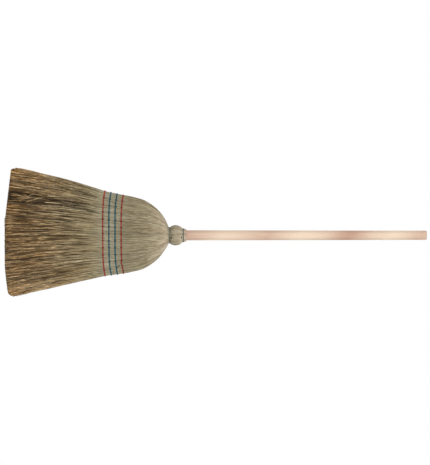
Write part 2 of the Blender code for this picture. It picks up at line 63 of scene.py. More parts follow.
TURN = 2 * math.pi
BUNDLES = 12
FRONT_BUNDLES = ["front_bundle_%02d" % number for number in range(1, BUNDLES + 1)]
BACK_BUNDLES = ["back_bundle_%02d" % number for number in range(1, BUNDLES + 1)]
ROWS = (
    ("outer_red", "red"),
    ("outer_teal", "teal"),
    ("inner_teal", "teal"),
    ("inner_red", "red"),
)
# Columns of the head's rings: the last two say how far the straw has spread from the round neck
# into the flat head, and the power of the superellipse.
HEIGHT, CENTRE, WIDTH, DEPTH, SPREAD, POWER = range(6)
# Corners this near to a height belong to its ring.
RING_REACH = 2e-4
# A ring is flat when it is this much wider than deep.
FLAT_RATIO = 1.12
# How fast the straw spreads, and what the power gains over 2 once it has.
SPREAD_GAIN = 1.12
SQUARENESS = 0.6
# Depth of the flat head as a share of its width, for even steps along its outline.
FLAT_DEPTH = 0.17
# How far the straws at both edges stand out from the solids.
STRAW_PROUD = 0.001
# Gaps between the loose straws of the front: place across the head from -1 to 1, lowest and
# highest point, half width and depth.
CLEFTS = (
    (-0.92, 0.110, 0.160, 0.0008, 0.006),
    (-0.81, 0.236, 0.292, 0.0017, 0.012),
    (-0.63, 0.150, 0.190, 0.0010, 0.009),
    (-0.605, 0.003, 0.080, 0.0009, 0.008),
    (-0.595, 0.086, 0.128, 0.0014, 0.012),
    (-0.58, 0.205, 0.245, 0.0014, 0.012),
    (-0.565, 0.124, 0.182, 0.0017, 0.012),
    (-0.55, 0.020, 0.066, 0.0008, 0.008),
    (-0.515, 0.010, 0.048, 0.0006, 0.007),
    (-0.49, 0.226, 0.262, 0.0013, 0.010),
    (-0.485, 0.165, 0.235, 0.0017, 0.012),
    (-0.47, 0.084, 0.130, 0.0016, 0.012),
    (-0.46, 0.008, 0.078, 0.0008, 0.008),
    (-0.45, 0.245, 0.300, 0.0015, 0.011),
    (-0.42, 0.046, 0.078, 0.0010, 0.009),
    (-0.36, 0.004, 0.060, 0.0010, 0.008),
    (-0.29, 0.160, 0.275, 0.0013, 0.010),
    (-0.283, 0.010, 0.140, 0.0012, 0.010),
    (-0.228, 0.010, 0.246, 0.0014, 0.011),
    (-0.17, 0.000, 0.050, 0.0010, 0.008),
    (-0.08, 0.012, 0.120, 0.0012, 0.009),
    (-0.03, 0.050, 0.245, 0.0010, 0.008),
    (0.075, 0.055, 0.268, 0.0013, 0.010),
    (0.13, 0.212, 0.266, 0.0012, 0.009),
    (0.27, -0.010, 0.016, 0.0020, 0.012),
    (0.31, -0.010, 0.026, 0.0024, 0.014),
    (0.43, -0.010, 0.024, 0.0014, 0.010),
    (0.43, 0.062, 0.120, 0.0020, 0.012),
    (0.45, 0.176, 0.250, 0.0012, 0.009),
    (0.49, 0.000, 0.078, 0.0012, 0.009),
    (0.64, 0.188, 0.264, 0.0008, 0.006),
    (0.66, 0.000, 0.032, 0.0016, 0.010),
    (0.66, 0.045, 0.150, 0.0012, 0.009),
    (0.925, 0.080, 0.150, 0.0008, 0.006),
    (-0.62, 0.440, 0.482, 0.0009, 0.005),
    (-0.60, 0.385, 0.432, 0.0009, 0.005),
    (-0.40, 0.470, 0.494, 0.0008, 0.004),
    (0.31, 0.390, 0.414, 0.0008, 0.004),
    (0.72, 0.390, 0.410, 0.0008, 0.004),
    (0.74, 0.426, 0.452, 0.0008, 0.004),
)
# How many smaller gaps are strewn over both sides.
SMALL_CLEFTS = 120
# A hollow in the front where the outer straws have worn away: its two sides across the head,
# its highest point and its depth.
# The straw in the hollow also gets painted shade
HOLLOW = (-0.66, -0.42, 0.285, 0.0075)
# Pale straws that lie across the others on the front: sideways place and height of the lower
# end, then of the upper one.
CROSSING = (
    (-0.0894, 0.0640, -0.1075, 0.1245),
    (-0.1080, 0.0690, -0.1175, 0.0880),
    (-0.1143, 0.0880, -0.1004, 0.2165),
    (-0.0912, 0.1240, -0.0866, 0.1760),
    (-0.0660, 0.1755, -0.0820, 0.1850),
    (-0.0970, 0.2066, -0.0786, 0.2515),
    (-0.0734, 0.2174, -0.0826, 0.2543),
    (-0.0205, 0.1560, -0.0309, 0.1830),
    (-0.1121, 0.0200, -0.1106, 0.0680),
    (-0.1013, 0.0268, -0.1023, 0.0763),
    (-0.0958, 0.0145, -0.0952, 0.0544),
)
# Length of one tone along a lock of straws, how many tones a lock has, and how far the random
# fields are bent sideways.
PATCH_LENGTH = 0.014
PATCHES = 40
FIELD_BEND = 0.0035
# How far to both sides of a streak, as a share of the way round, the field is taken off it.
STREAK_SIDES = 0.0042
# Random fields round the head and up it: seed, cells across and cells along.
WIDE_CLUMPS = (11, 64, 3)
CLUMPS = (12, 230, 7)
WIDE_LAYERS = (21, 76, 3)
LAYERS = (22, 250, 6)
CRACKS = (23, 420, 5)
WIDE_CRACKS = (24, 210, 5)
BENDS = (25, 30, 6)
TONES = (31, 50, 6)
WARMTHS = (32, 30, 3)
STREAKS = (33, 320, 14)
# Radius of the handle's hidden point.
HANDLE_POINT = 0.006
# Distance between two growth rings of the wood, and how pale it is at each share of the
# broom's height.
RING_STEP = 0.0034
WOOD_LENGTHS = (
    (0.430, 0.15), (0.520, 0.78), (0.565, 0.62), (0.625, 0.34), (0.700, 1.00),
    (0.760, 0.66), (0.815, 0.00), (0.865, 0.60), (0.918, 1.00), (0.985, 0.40),
)
# The twine: sides of its section, distance between its rings, length of one turn of a ply,
# steps of wear along a row, and how far the loose tail of one row runs up and sideways.
TWINE_SIDES = 10
TWINE_STEP = 0.0008
PLY_LENGTH = 0.0075
WEAR_STEPS = 560
TAIL_RISE = 0.0115
TAIL_RUN = 0.0075
# Where the top row sags on the front: place across the head, half width and depth.
SAG = (0.715, 0.035, 0.0028)
# Height of the rounded top of a nail's head, and thickness of the disc under it.
NAIL_DOME = 0.0011
NAIL_DISC = 0.0001
# Soft square lamps: name, place, size and power, and the height that they face.
LAMPS = (
    ("key_light", (-1.5, -3.0, 2.3), 2.6, 77.0),
    ("fill_light", (2.4, -2.0, 1.2), 2.4, 36.0),
    ("rear_light", (1.2, 3.0, 2.4), 2.6, 50.0),
)
LAMP_AIM = 0.6
# Light of the surroundings, and half the floor's side with where it fades into them.
WORLD_LEVEL = 0.42
FLOOR_HALF = 6.0
FLOOR_FADE = (0.45, 1.7)
# Length of the longer side of the view, and the camera's place.
VIEW_LENGTH = 1.430
VIEW_PLACE = (0.0026, -5.0, 0.6482)


def corners_of(*names):
    """All corner points of some CAD nodes, as rows of an array."""
    found = []
    for name in names:
        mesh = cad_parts[name].data
        points = np.zeros(len(mesh.vertices) * 3)
        mesh.vertices.foreach_get("co", points)
        found.append(points.reshape(-1, 3))
    return np.concatenate(found)


def ease(share):
    """A share cut to 0 to 1 and eased in and out: three squares less two cubes."""
    share = np.clip(share, 0.0, 1.0)
    return share * share * (3 - 2 * share)


def smooth_curve(places, knots, values):
    """A cubic through every knot. Its slope at a knot is the harmonic mean of the slopes on
    both sides, and none where they differ in sign, so it never swings past a knot."""
    steps = np.diff(knots)
    rises = np.diff(values) / steps
    both = rises[:-1] * rises[1:]
    total = np.where(both > 0, rises[:-1] + rises[1:], 1.0)
    slopes = np.concatenate([rises[:1], np.where(both > 0, 2 * both / total, 0.0), rises[-1:]])
    low = np.clip(np.searchsorted(knots, places, side="right") - 1, 0, len(steps) - 1)
    share = np.clip((places - knots[low]) / steps[low], 0.0, 1.0)
    bend = (1 - share) * slopes[low] - share * slopes[low + 1]
    bend += (2 * share - 1) * rises[low]
    line = values[low] + share * (values[low + 1] - values[low])
    return line + share * (1 - share) * steps[low] * bend


def drift(field, across, along):
    """A smooth random field from -1 to 1: random values on a grid, eased between them.
    Both places are shares from 0 to 1."""
    seed, cells, rows = field
    grid = np.random.default_rng(seed).uniform(-1, 1, (cells + 2, rows + 2))
    x = np.clip(across, 0.0, 1.0) * cells
    y = np.clip(along, 0.0, 1.0) * rows
    column = x.astype(int)
    row = y.astype(int)
    x = ease(x - column)
    y = ease(y - row)
    low = grid[column, row] * (1 - x) + grid[column + 1, row] * x
    high = grid[column, row + 1] * (1 - x) + grid[column + 1, row + 1] * x
    return low * (1 - y) + high * y


class Head:
    """The head's outline at every height: a superellipse whose sizes come from the CAD
    bundles' rings and, at the sweeping edge, from the broom's sizes."""

    def __init__(self, sizes):
        self.sizes = sizes
        self.rows = [self.row_height(row) for row in range(len(ROWS))]
        self.read_rings()
        self.measure_outline()
        self.strew_clefts()

    def read_rings(self):
        """One row per height: two from the broom's sizes below, and the rest from the CAD
        bundles. The straw stands a little proud of them where it has spread."""
        sizes = self.sizes
        left = corners_of(FRONT_BUNDLES[0])
        right = corners_of(FRONT_BUNDLES[-1])
        rear = corners_of(BACK_BUNDLES[5])
        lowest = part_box("twine_outer_red")[0].z - 0.02
        heights = np.unique(np.round(rear[:, 2], 4))
        depth = sizes.sweep_depth / 2
        rings = [
            [0.0, 0.00045, sizes.sweep_width / 2, depth, 1.0, 3.0],
            [0.17, 0.0002, sizes.middle_width / 2, depth, 1.0, 2.8],
        ]
        for height in heights[heights > lowest]:
            start = left[abs(left[:, 2] - height) < RING_REACH][:, 0].min()
            end = right[abs(right[:, 2] - height) < RING_REACH][:, 0].max()
            depth = rear[abs(rear[:, 2] - height) < RING_REACH][:, 1].max()
            rings.append([height, (start + end) / 2, (end - start) / 2, depth, 0.0, 2.0])
        rings = np.array(rings)
        flat = rings[:, WIDTH] > FLAT_RATIO * rings[:, DEPTH]
        bound = rings[rings[:, HEIGHT] > self.rows[-1]][0, WIDTH]
        neck = rings[~flat][0, DEPTH]
        self.neck_base = rings[~flat][0, HEIGHT]
        self.collar_end = rings[-1, HEIGHT]
        grown = SPREAD_GAIN * (rings[:, WIDTH] - neck) / (bound - neck)
        rings[:, SPREAD] = np.clip(grown, 0.0, 1.0) * flat
        rings[2:, POWER] += SQUARENESS * rings[2:, SPREAD]
        rings[2:, WIDTH] += STRAW_PROUD * rings[2:, SPREAD]
        self.rings = rings

    def measure_outline(self):
        """Places across the flat head from -1 to 1, and how far round its front each lies as
        a share of the way. The way is summed over many short steps of the superellipse."""
        turn = np.linspace(0, math.pi, 4001)
        power = 2 / (2 + SQUARENESS)
        self.flat_shares = -np.sign(np.cos(turn)) * abs(np.cos(turn)) ** power
        rest = np.sin(turn) ** power * FLAT_DEPTH
        steps = np.hypot(np.diff(self.flat_shares), np.diff(rest))
        length = np.concatenate([[0], np.cumsum(steps)])
        self.flat_lengths = length / length[-1]

    def strew_clefts(self):
        """Small gaps at random places, in the columns of CLEFTS."""
        dice = np.random.default_rng(5)
        low = dice.uniform(-0.01, 0.22, SMALL_CLEFTS)
        self.small_clefts = np.stack([
            dice.uniform(-0.95, 0.95, SMALL_CLEFTS),
            low,
            low + dice.uniform(0.02, 0.10, SMALL_CLEFTS),
            dice.uniform(0.0005, 0.0012, SMALL_CLEFTS),
            dice.uniform(0.003, 0.007, SMALL_CLEFTS),
        ], axis=1)

    def row_height(self, row, share=0.0):
        """Height of a sewn row at a place across the head from -1 to 1."""
        sizes = self.sizes
        return sizes.row_height + sizes.row_pitch * row + sizes.row_bow * share ** 4

    def part(self, column, height):
        """One of the outline's sizes at some heights."""
        return smooth_curve(np.asarray(height, dtype=float), self.rings[:, HEIGHT],
                            self.rings[:, column])

    def girth(self, height):
        """Length of half the outline: wide and flat below, half a circle at the neck."""
        width = self.part(WIDTH, height)
        spread = self.part(SPREAD, height)
        flat = 2 * width + 1.5 * self.part(DEPTH, height)
        return spread * flat + (1 - spread) * math.pi * width

    def round_at(self, share):
        """How far round the front a place across the flat part lies."""
        return np.interp(share, self.flat_shares, self.flat_lengths)

    def across(self, around, height):
        """Place across the head, from -1 to 1: even steps along the flat outline below, and
        even angles at the neck, blended by how far the straw has spread."""
        half = np.where(around % 2 < 1, around % 2, 2 - around % 2)
        flat = np.interp(half, self.flat_lengths, self.flat_shares)
        spread = self.part(SPREAD, height)
        return spread * flat + (1 - spread) * -np.cos(math.pi * half)

    def place(self, around, height, depth=0.0):
        """Points under the outline, and the outward directions there. The outline's depth at
        a share of its width is one less that share's power, to the inverse power."""
        around, height, depth = np.broadcast_arrays(around, height, depth)
        side = np.where(around % 2 < 1, -1.0, 1.0)
        share = np.clip(self.across(around, height), -1, 1)
        power = self.part(POWER, height)
        width = self.part(WIDTH, height)
        thick = self.part(DEPTH, height)
        rest = (1 - abs(share) ** power) ** (1 / power)
        out = np.stack([
            np.sign(share) * abs(share) ** (power - 1) / width,
            side * rest ** (power - 1) / thick,
            np.zeros_like(share),
        ], axis=-1)
        out /= np.linalg.norm(out, axis=-1, keepdims=True)
        points = np.stack([
            self.part(CENTRE, height) + width * share,
            side * thick * rest,
            height.astype(float),
        ], axis=-1)
        return points - out * depth[..., None], out

    def edge_height(self, x):
        """Height of the worn sweeping edge: flat in the middle, a straight rise to the left
        corner, a curved one to the right, and a quarter of an ellipse at both corners."""
        sizes = self.sizes
        left = np.clip((-x - sizes.left_start) / sizes.left_run, 0, None)
        right = np.clip((x - sizes.right_start) / sizes.right_run, 0, None)
        over = np.where(x < 0, (-x - sizes.left_reach) / sizes.left_corner,
                        (x - sizes.right_reach) / sizes.right_corner)
        over = np.clip(over + 1, 0, 0.985)
        corner = sizes.corner_height * (1 - np.sqrt(1 - over * over))
        return sizes.left_rise * left + sizes.right_rise * right ** 1.25 + corner


def add_rings(name, corners, look, shades=None):
    """Closed tubes in one smooth mesh: corners holds tubes, rings, sides and XYZ, and the
    rings are joined by four-sided faces and shut by one face at each end."""
    tubes, rings, sides, _ = corners.shape
    index = np.arange(tubes * rings * sides).reshape(tubes, rings, sides)
    near = np.roll(index, -1, axis=2)
    walls = np.stack([index[:, :-1], index[:, 1:], near[:, 1:], near[:, :-1]], axis=-1)
    loops = np.concatenate([walls.ravel(), index[:, 0].ravel(), index[:, -1, ::-1].ravel()])
    starts = np.concatenate([
        np.arange(0, walls.size, 4),
        walls.size + np.arange(2 * tubes) * sides,
    ])
    mesh = bpy.data.meshes.new(name)
    mesh.vertices.add(index.size)
    mesh.vertices.foreach_set("co", corners.astype(np.float32).ravel())
    mesh.loops.add(len(loops))
    mesh.loops.foreach_set("vertex_index", loops.astype(np.int32))
    mesh.polygons.add(len(starts))
    mesh.polygons.foreach_set("loop_start", starts.astype(np.int32))
    if shades is not None:
        colours = np.ones((index.size, 4), np.float32)
        colours[:, :3] = np.broadcast_to(shades, corners.shape).reshape(-1, 3)
        layer = mesh.attributes.new("shades", "FLOAT_COLOR", "POINT")
        layer.data.foreach_set("color", colours.ravel())
    mesh.update(calc_edges=True)
    if mesh.validate():
        raise RuntimeError(name + " had faces that can't be")
    mesh.shade_smooth()
    mesh.materials.append(look)
    made = bpy.data.objects.new(name, mesh)
    bpy.context.scene.collection.objects.link(made)
    return made


def tube_corners(path, out, wide, thick, sides, swell=1.0):
    """Corners of tubes along whole arrays of paths. Every ring is an ellipse square to its
    path, with the half width along the surface and the half thickness along out. Swell
    scales single corners."""
    run = np.gradient(path, axis=1)
    run /= np.linalg.norm(run, axis=-1, keepdims=True)
    along = np.cross(run, out)
    along /= np.linalg.norm(along, axis=-1, keepdims=True)
    up = np.cross(along, run)
    turn = np.arange(sides) / sides * TURN + TURN / 8
    wide = np.asarray(wide)[..., None, None] * swell
    thick = np.asarray(thick)[..., None, None] * swell
    ring = np.cos(turn)[:, None] * along[:, :, None] * wide
    ring = ring + np.sin(turn)[:, None] * up[:, :, None] * thick
    return path[:, :, None] + ring


def join_rings(name, groups, look):
    """Groups of closed tubes in one mesh, each given as its corners and shades."""
    corners = np.concatenate([corners for corners, _ in groups])
    shades = [np.broadcast_to(shades, corners.shape) for corners, shades in groups]
    return add_rings(name, corners, look, np.concatenate(shades))


def add_tube(name, path, out, radii, sides, look, swell=1.0, shades=None):
    """One closed round tube along a single path."""
    path = path[None]
    radii = np.broadcast_to(radii, path.shape[:2])
    corners = tube_corners(path, np.broadcast_to(out, path.shape), radii, radii, sides, swell)
    return add_rings(name, corners, look, shades)


def evenly(points, step):
    """Points every step along a path of straight runs, with its corners rounded a little."""
    lengths = np.linalg.norm(np.diff(points, axis=0), axis=1)
    travel = np.concatenate([[0], np.cumsum(lengths)])
    places = np.arange(0, travel[-1], step)
    even = np.stack([np.interp(places, travel, points[:, axis]) for axis in range(3)], axis=1)
    for _ in range(3):
        even[1:-1] = (even[:-2] + 2 * even[1:-1] + even[2:]) / 4
    return even


def finish_piece(made, slot, *nodes):
    """Fasten a piece to the broom's one body, and hide the CAD nodes it stands in for."""
    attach(made, "root")
    if nodes:
        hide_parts(*nodes)


class Socket:
    """A shader value. Arithmetic on it adds Math nodes."""

    def __init__(self, look, link):
        self.look = look
        self.link = link

    def math(self, operation, *values):
        inputs = dict(enumerate(values))
        return self.look.node("ShaderNodeMath", {"operation": operation}, inputs)

    def __add__(self, other):
        return self.math("ADD", self, other)

    def __sub__(self, other):
        return self.math("SUBTRACT", self, other)

    def __rsub__(self, other):
        return self.math("SUBTRACT", other, self)

    def __mul__(self, other):
        return self.math("MULTIPLY", self, other)

    def __pow__(self, other):
        return self.math("POWER", self, other)

    __radd__ = __add__
    __rmul__ = __mul__

    def wave(self):
        """Its sine."""
        return self.math("SINE", self)

    def largest(self, other):
        """The larger of two values."""
        return self.math("MAXIMUM", self, other)

    def between(self, low, high):
        """0 at low, 1 at high, eased in between and cut outside."""
        settings = {"interpolation_type": "SMOOTHSTEP"}
        return self.look.node("ShaderNodeMapRange", settings, {0: self, 1: low, 2: high})

    def output(self, name):
        """Another output of the same node."""
        return Socket(self.look, self.link.node.outputs[name])


class Look:
    """The nodes of one material or of the world."""

    def __init__(self, owner):
        owner.use_nodes = True
        self.owner = owner
        self.tree = owner.node_tree
        self.tree.nodes.clear()

    def node(self, kind, settings=None, inputs=None, output=0):
        """Add a node: its settings come first, then the values or links of its sockets."""
        made = self.tree.nodes.new(kind)
        for key, value in (settings or {}).items():
            if key == "stops":
                stops = made.color_ramp.elements
                while len(stops) < len(value):
                    stops.new(0.5)
                for stop, (place, colour) in zip(stops, value):
                    stop.position = place
                    stop.color = (*colour, 1.0)
            else:
                setattr(made, key, value)
        for key, value in (inputs or {}).items():
            if isinstance(value, Socket):
                self.tree.links.new(value.link, made.inputs[key])
            elif made.inputs[key].type == "RGBA" and len(value) == 3:
                made.inputs[key].default_value = (*value, 1.0)
            else:
                made.inputs[key].default_value = value
        if not made.outputs:
            return None
        return Socket(self, made.outputs[output])

    def mix(self, share, first, second, blend="MIX"):
        """A colour between two colours."""
        settings = {"data_type": "RGBA", "blend_type": blend}
        return self.node("ShaderNodeMix", settings, {0: share, 6: first, 7: second}, 2)

    def scaled(self, colour, share):
        """A colour made lighter or darker."""
        return self.node("ShaderNodeVectorMath", {"operation": "SCALE"},
                         {0: colour, "Scale": share})

    def ramp(self, share, stops):
        """A colour for each share from 0 to 1."""
        return self.node("ShaderNodeValToRGB", {"stops": stops}, {0: share})

    def object_place(self):
        """Object coordinates."""
        return self.node("ShaderNodeTexCoord", output="Object")

    def place_part(self, axis):
        """One of the Object coordinates. Its node's other outputs give the other two."""
        return self.node("ShaderNodeSeparateXYZ", inputs={0: self.object_place()}, output=axis)

    def shades(self):
        """The red part of the shades attribute. Its node's other outputs give the other two."""
        shades = self.node("ShaderNodeAttribute", {"attribute_name": "shades"}, output="Color")
        return self.node("ShaderNodeSeparateColor", inputs={0: shades})

    def noise(self, scale, stretch=1.0):
        """A cloudy pattern over Object coordinates, drawn out along Z where stretch is small."""
        place = self.node("ShaderNodeMapping", inputs={
            0: self.object_place(), "Scale": (1.0, 1.0, stretch)})
        return self.node("ShaderNodeTexNoise", inputs={"Vector": place, "Scale": scale})

    def bump(self, strength, distance, height):
        """Normals tilted by a pattern of heights."""
        return self.node("ShaderNodeBump", inputs={
            "Strength": strength, "Distance": distance, "Height": height})

    def surface(self, **sockets):
        """A Principled shader on the output. Underscores in the names stand for spaces."""
        inputs = {name.replace("_", " "): value for name, value in sockets.items()}
        shader = self.node("ShaderNodeBsdfPrincipled", inputs=inputs)
        self.node("ShaderNodeOutputMaterial", inputs={"Surface": shader})
        return self.owner


def new_look(name):
    """A new material's nodes."""
    return Look(bpy.data.materials.new(name))


def straw_look(name, colours, head):
    """Straw: a colour for each height, with painted light at the worn ends and painted shade just
    above the lower wire, browner straws and painted shade in the gaps by the shades attribute,
    and fine streaks along the straws that are stronger where the straw hangs loose."""
    look = new_look(name)
    height = look.place_part("Z")
    base = look.ramp(height * (1 / head.collar_end), (
        # Painted light at the ends lifts the floor's contact shadow; the cut ends are also paler
        (0.0, colours.straw_end_painted_light),
        (0.045, colours.straw_tip),
        (0.24, colours.straw_loose),
        (0.48, colours.straw_tight),
        (0.58, colours.straw_sewn),
        (0.68, colours.straw_shoulder),
        (0.79, colours.straw_dome),
        (0.885, colours.straw_neck),
        # Painted shade on the straw just above the lower wire
        (0.915, colours.painted_knot_shade),
        (0.955, colours.straw_knot),
        (0.975, colours.straw_pale),
        (0.990, colours.straw_collar),
    ))
    tone = look.shades()
    browner = look.mix(1.0, base, colours.straw_warm, "MULTIPLY")
    warm = look.mix(tone.output("Green"), base, browner)
    tight = height.between(0.06, 0.36)
    streaks = look.noise(620.0, 0.035).between(0.34, 0.66)
    blotches = look.noise(240.0, 0.16).between(0.32, 0.68)
    flecks = look.noise(330.0, 0.45).between(0.34, 0.66)
    light = tone * (1 + (0.70 - 0.38 * tight) * (streaks - 0.5))
    light = light * (1 + (0.60 - 0.40 * tight) * (blotches - 0.5))
    light = light * (1 + (0.36 - 0.24 * tight) * (flecks - 0.5))
    # The blue of the shades attribute mixes in painted shade deep in the gaps
    colour = look.mix(tone.output("Blue"), look.scaled(warm, light), colours.painted_gap_shade)
    return look.surface(Base_Color=colour, Roughness=0.62, Specular_IOR_Level=0.3,
                        Normal=look.bump(0.25, 0.0004, streaks))


def wood_look(name, colours, sizes):
    """Pale turned wood: growth rings round an axis beside the handle, bent by slow clouds,
    long fine pores, and darker and paler lengths with slanting borders."""
    look = new_look(name)
    x = look.place_part("X")
    height = x.output("Z")
    off_x = x - (sizes.handle_x - 0.030)
    off_y = x.output("Y") - 0.012
    bends = look.noise(26.0, 0.10)
    away = (off_x * off_x + off_y * off_y) ** 0.5 + 0.010 * bends + 0.004 * height
    rings = (away * (TURN / RING_STEP)).wave()
    pores = look.noise(900.0, 0.012)
    slow = look.noise(52.0, 0.16)
    slanting = height + (x - sizes.handle_x) * 0.8 + 0.016 * (slow - 0.5)
    lengths = look.ramp(slanting * (1 / 1.3), [
        (place, (pale, pale, pale)) for place, pale in WOOD_LENGTHS])
    paleness = lengths + 0.50 * (slow - 0.5)
    base = look.mix(paleness.between(-0.15, 1.1), colours.wood_dark, colours.wood_pale)
    light = 0.92 + 0.035 * rings + 0.12 * pores
    return look.surface(Base_Color=look.scaled(base, light), Roughness=0.50,
                        Normal=look.bump(0.15, 0.0003, pores))


def twine_look(name, colour):
    """Twisted twine with painted shade between its plies and on the stitches, where they are
    pulled tight into the straw.
    """
    look = new_look(name)
    light = look.shades() * (0.72 + 0.55 * look.noise(1500.0))
    return look.surface(Base_Color=look.scaled(colour, light), Roughness=0.85)


def metal_look(name, colour, metallic, roughness):
    """Dull metal with faint stains."""
    look = new_look(name)
    light = 0.75 + 0.5 * look.noise(300.0)
    return look.surface(Base_Color=look.scaled(colour, light), Metallic=metallic,
                        Roughness=roughness)


class Straws:
    """Paths of many straws at once. Straws lie in locks of a few that share their lean, waves,
    depth and tone. Each has a place round the head and two ends, and wanders the more the
    further it hangs below the rows."""

    def __init__(self, head, seed, count, rings, lock=5, slope=0.016):
        self.head = head
        self.count = count
        self.rings = rings
        self.dice = np.random.default_rng(seed)
        dice = self.dice
        self.locks = -(-count // lock)
        self.lock_of = np.arange(count) // lock
        self.wave = self.shared(dice.uniform(0.0003, 0.0022, self.locks))
        self.wave_length = self.shared(dice.uniform(0.06, 0.20, self.locks))
        self.wave_start = self.shared(dice.uniform(0, TURN, self.locks))
        self.slope = self.shared(dice.normal(0, slope, self.locks))
        self.rank = self.shared(dice.uniform(0, 1, self.locks))
        self.lightness = self.shared(dice.normal(0, 1, self.locks))
        self.warmth = self.shared(dice.normal(0, 1, self.locks))
        self.patches = dice.normal(0, 1, (self.locks, PATCHES))
        self.own = dice.uniform(-1, 1, (count, 1))
        self.crinkle = dice.uniform(0, 0.0010, (count, 1))
        self.crinkle_length = dice.uniform(0.028, 0.07, (count, 1))
        self.crinkle_start = dice.uniform(0, TURN, (count, 1))

    def shared(self, values):
        """One value per lock, handed to all its straws."""
        return values[self.lock_of][:, None]

    def spread_out(self, low, high):
        """Places round the head: locks at uneven steps, their straws close beside them."""
        steps = np.arange(self.locks) + self.dice.uniform(-0.6, 0.6, self.locks)
        place = (self.shared(steps + 0.5) + 0.9 * self.own) / self.locks
        return low + (high - low) * np.clip(place, 0.0005, 0.9995)

    def heights(self, top, bottom, crowd=1.0):
        """Rings from the top end of each straw to its bottom end, closer together at the
        top where crowd is over 1, and at the bottom where it is under 1."""
        shares = np.linspace(0, 1, self.rings)[None, :] ** crowd
        return top[:, None] + (bottom - top)[:, None] * shares

    def loose(self, height):
        """How loose straw hangs: none at the sewn rows, all at the sweeping edge."""
        return np.clip(1 - height / (self.head.rows[0] - 0.006), 0, 1) ** 0.75

    def patch(self, height):
        """A smooth random value that changes along each lock, one step every patch."""
        place = np.clip(height / PATCH_LENGTH, 0, PATCHES - 1.001)
        row = place.astype(int)
        share = ease(place - row)
        lock = self.lock_of[:, None]
        return self.patches[lock, row] * (1 - share) + self.patches[lock, row + 1] * share

    def wander(self, around, height, pivot=None):
        """Sideways shifts: clumps, waves and the slope of each lock, and each straw's own
        crinkle. They fade out at the head's two edges."""
        row = self.head.rows[0]
        share = (around % 2) / 2
        along = height / row
        clumps = 0.0020 * drift(WIDE_CLUMPS, share, along) + 0.0021 * drift(CLUMPS, share, along)
        waves = self.wave * np.sin(TURN * height / self.wave_length + self.wave_start)
        crinkles = self.crinkle * np.sin(TURN * height / self.crinkle_length + self.crinkle_start)
        if pivot is None:
            hang = np.clip(row - height, 0, None)
        else:
            hang = pivot - height
        inner = ease((1 - abs(self.head.across(around, height))) / 0.08)
        return inner * (self.loose(height) * (clumps + waves + crinkles) + self.slope * hang)

    def cracks(self, around, height):
        """0 to 1 in short narrow hollows between the loose locks, from two random fields."""
        share = (around % 2) / 2
        along = height / self.head.rows[0]
        share = share + FIELD_BEND * drift(BENDS, share, along)
        narrow = ease((drift(CRACKS, share, along) - 0.20) / 0.30)
        wide = ease((drift(WIDE_CRACKS, share, along) - 0.60) / 0.30)
        return np.maximum(narrow, wide) * ease(self.loose(height) / 0.35)

    def sunk(self, around, height):
        """How far clumps lie under the outline, and the seams and twine press straw in."""
        head = self.head
        share = (around % 2) / 2
        along = height / head.rows[0]
        across = head.across(around, height)
        inner = ease((1 - abs(across)) / 0.05)
        depth = 0.0007 + 0.0005 * drift(WIDE_LAYERS, share, along)
        depth = depth + 0.0010 * drift(LAYERS, share, along)
        depth = np.clip(depth, 0, None) + 0.0042 * self.rank ** 1.3
        depth = self.loose(height) * inner * depth
        seams = np.cos(math.pi * (across + 1) / 2 * BUNDLES) ** 2
        sewn = sum(np.exp(-((height - row) / 0.013) ** 2) for row in head.rows)
        depth = depth + 0.0007 * np.clip(sewn, 0, 1) * seams ** 10
        for row in range(len(ROWS)):
            apart = height - head.row_height(row, across)
            depth = depth + 0.0006 * np.exp(-(apart / 0.0030) ** 2)
        return depth

    def part_clefts(self, around, height, shift, depth):
        """Push straws aside at each cleft and sink the front's worn hollow: new shifts and
        depths, and how far inside the hollow each point lies."""
        head = self.head
        front = around % 2 < 1
        side = np.where(front, 1, -1)
        width = head.part(WIDTH, height)
        share = head.across(around, height) + side * shift / width
        for group, seen in ((CLEFTS, front), (head.small_clefts, True)):
            for centre, low, high, half, deep in group:
                middle = (low + high) / 2
                reach = np.clip(1 - ((height - middle) / ((high - low) / 2)) ** 2, 0, 1) ** 0.5
                apart = (share - centre) * width
                near = np.clip(1 - abs(apart) / (2 * half * reach + 1e-9), 0, 1) * seen
                shift = shift + side * np.sign(apart) * near * half * reach
                depth = depth + near ** 2 * deep * reach
        left, right, high, deep = HOLLOW
        narrow = 0.04 + 0.10 * np.clip(height / high, 0, 1)
        inside = ease((share - left) / narrow) * ease((right - share) / narrow)
        hollow = inside * ease((high - height) / 0.11) * front
        return shift, depth + hollow * deep, hollow

    def path(self, around, height, depth, pivot=None):
        """Paths, outward directions, final places round the head, depths under the outline,
        and how far inside the worn hollow each point lies."""
        shift = self.wander(around, height, pivot)
        sunk = self.sunk(around, height) + depth
        shift, sunk, hollow = self.part_clefts(around, height, shift, sunk)
        turned = around % 2 + shift / self.head.girth(height)
        turned = np.where(around % 2 < 1, np.clip(turned, 0, 0.99999),
                          np.clip(turned, 1.00001, 1.99999))
        inner = ease((1 - abs(self.head.across(turned, height))) / 0.03)
        sunk = sunk + (0.0042 + 0.004 * hollow) * inner * self.cracks(turned, height)
        points, out = self.head.place(turned, height, sunk)
        return points, out, turned, sunk, hollow

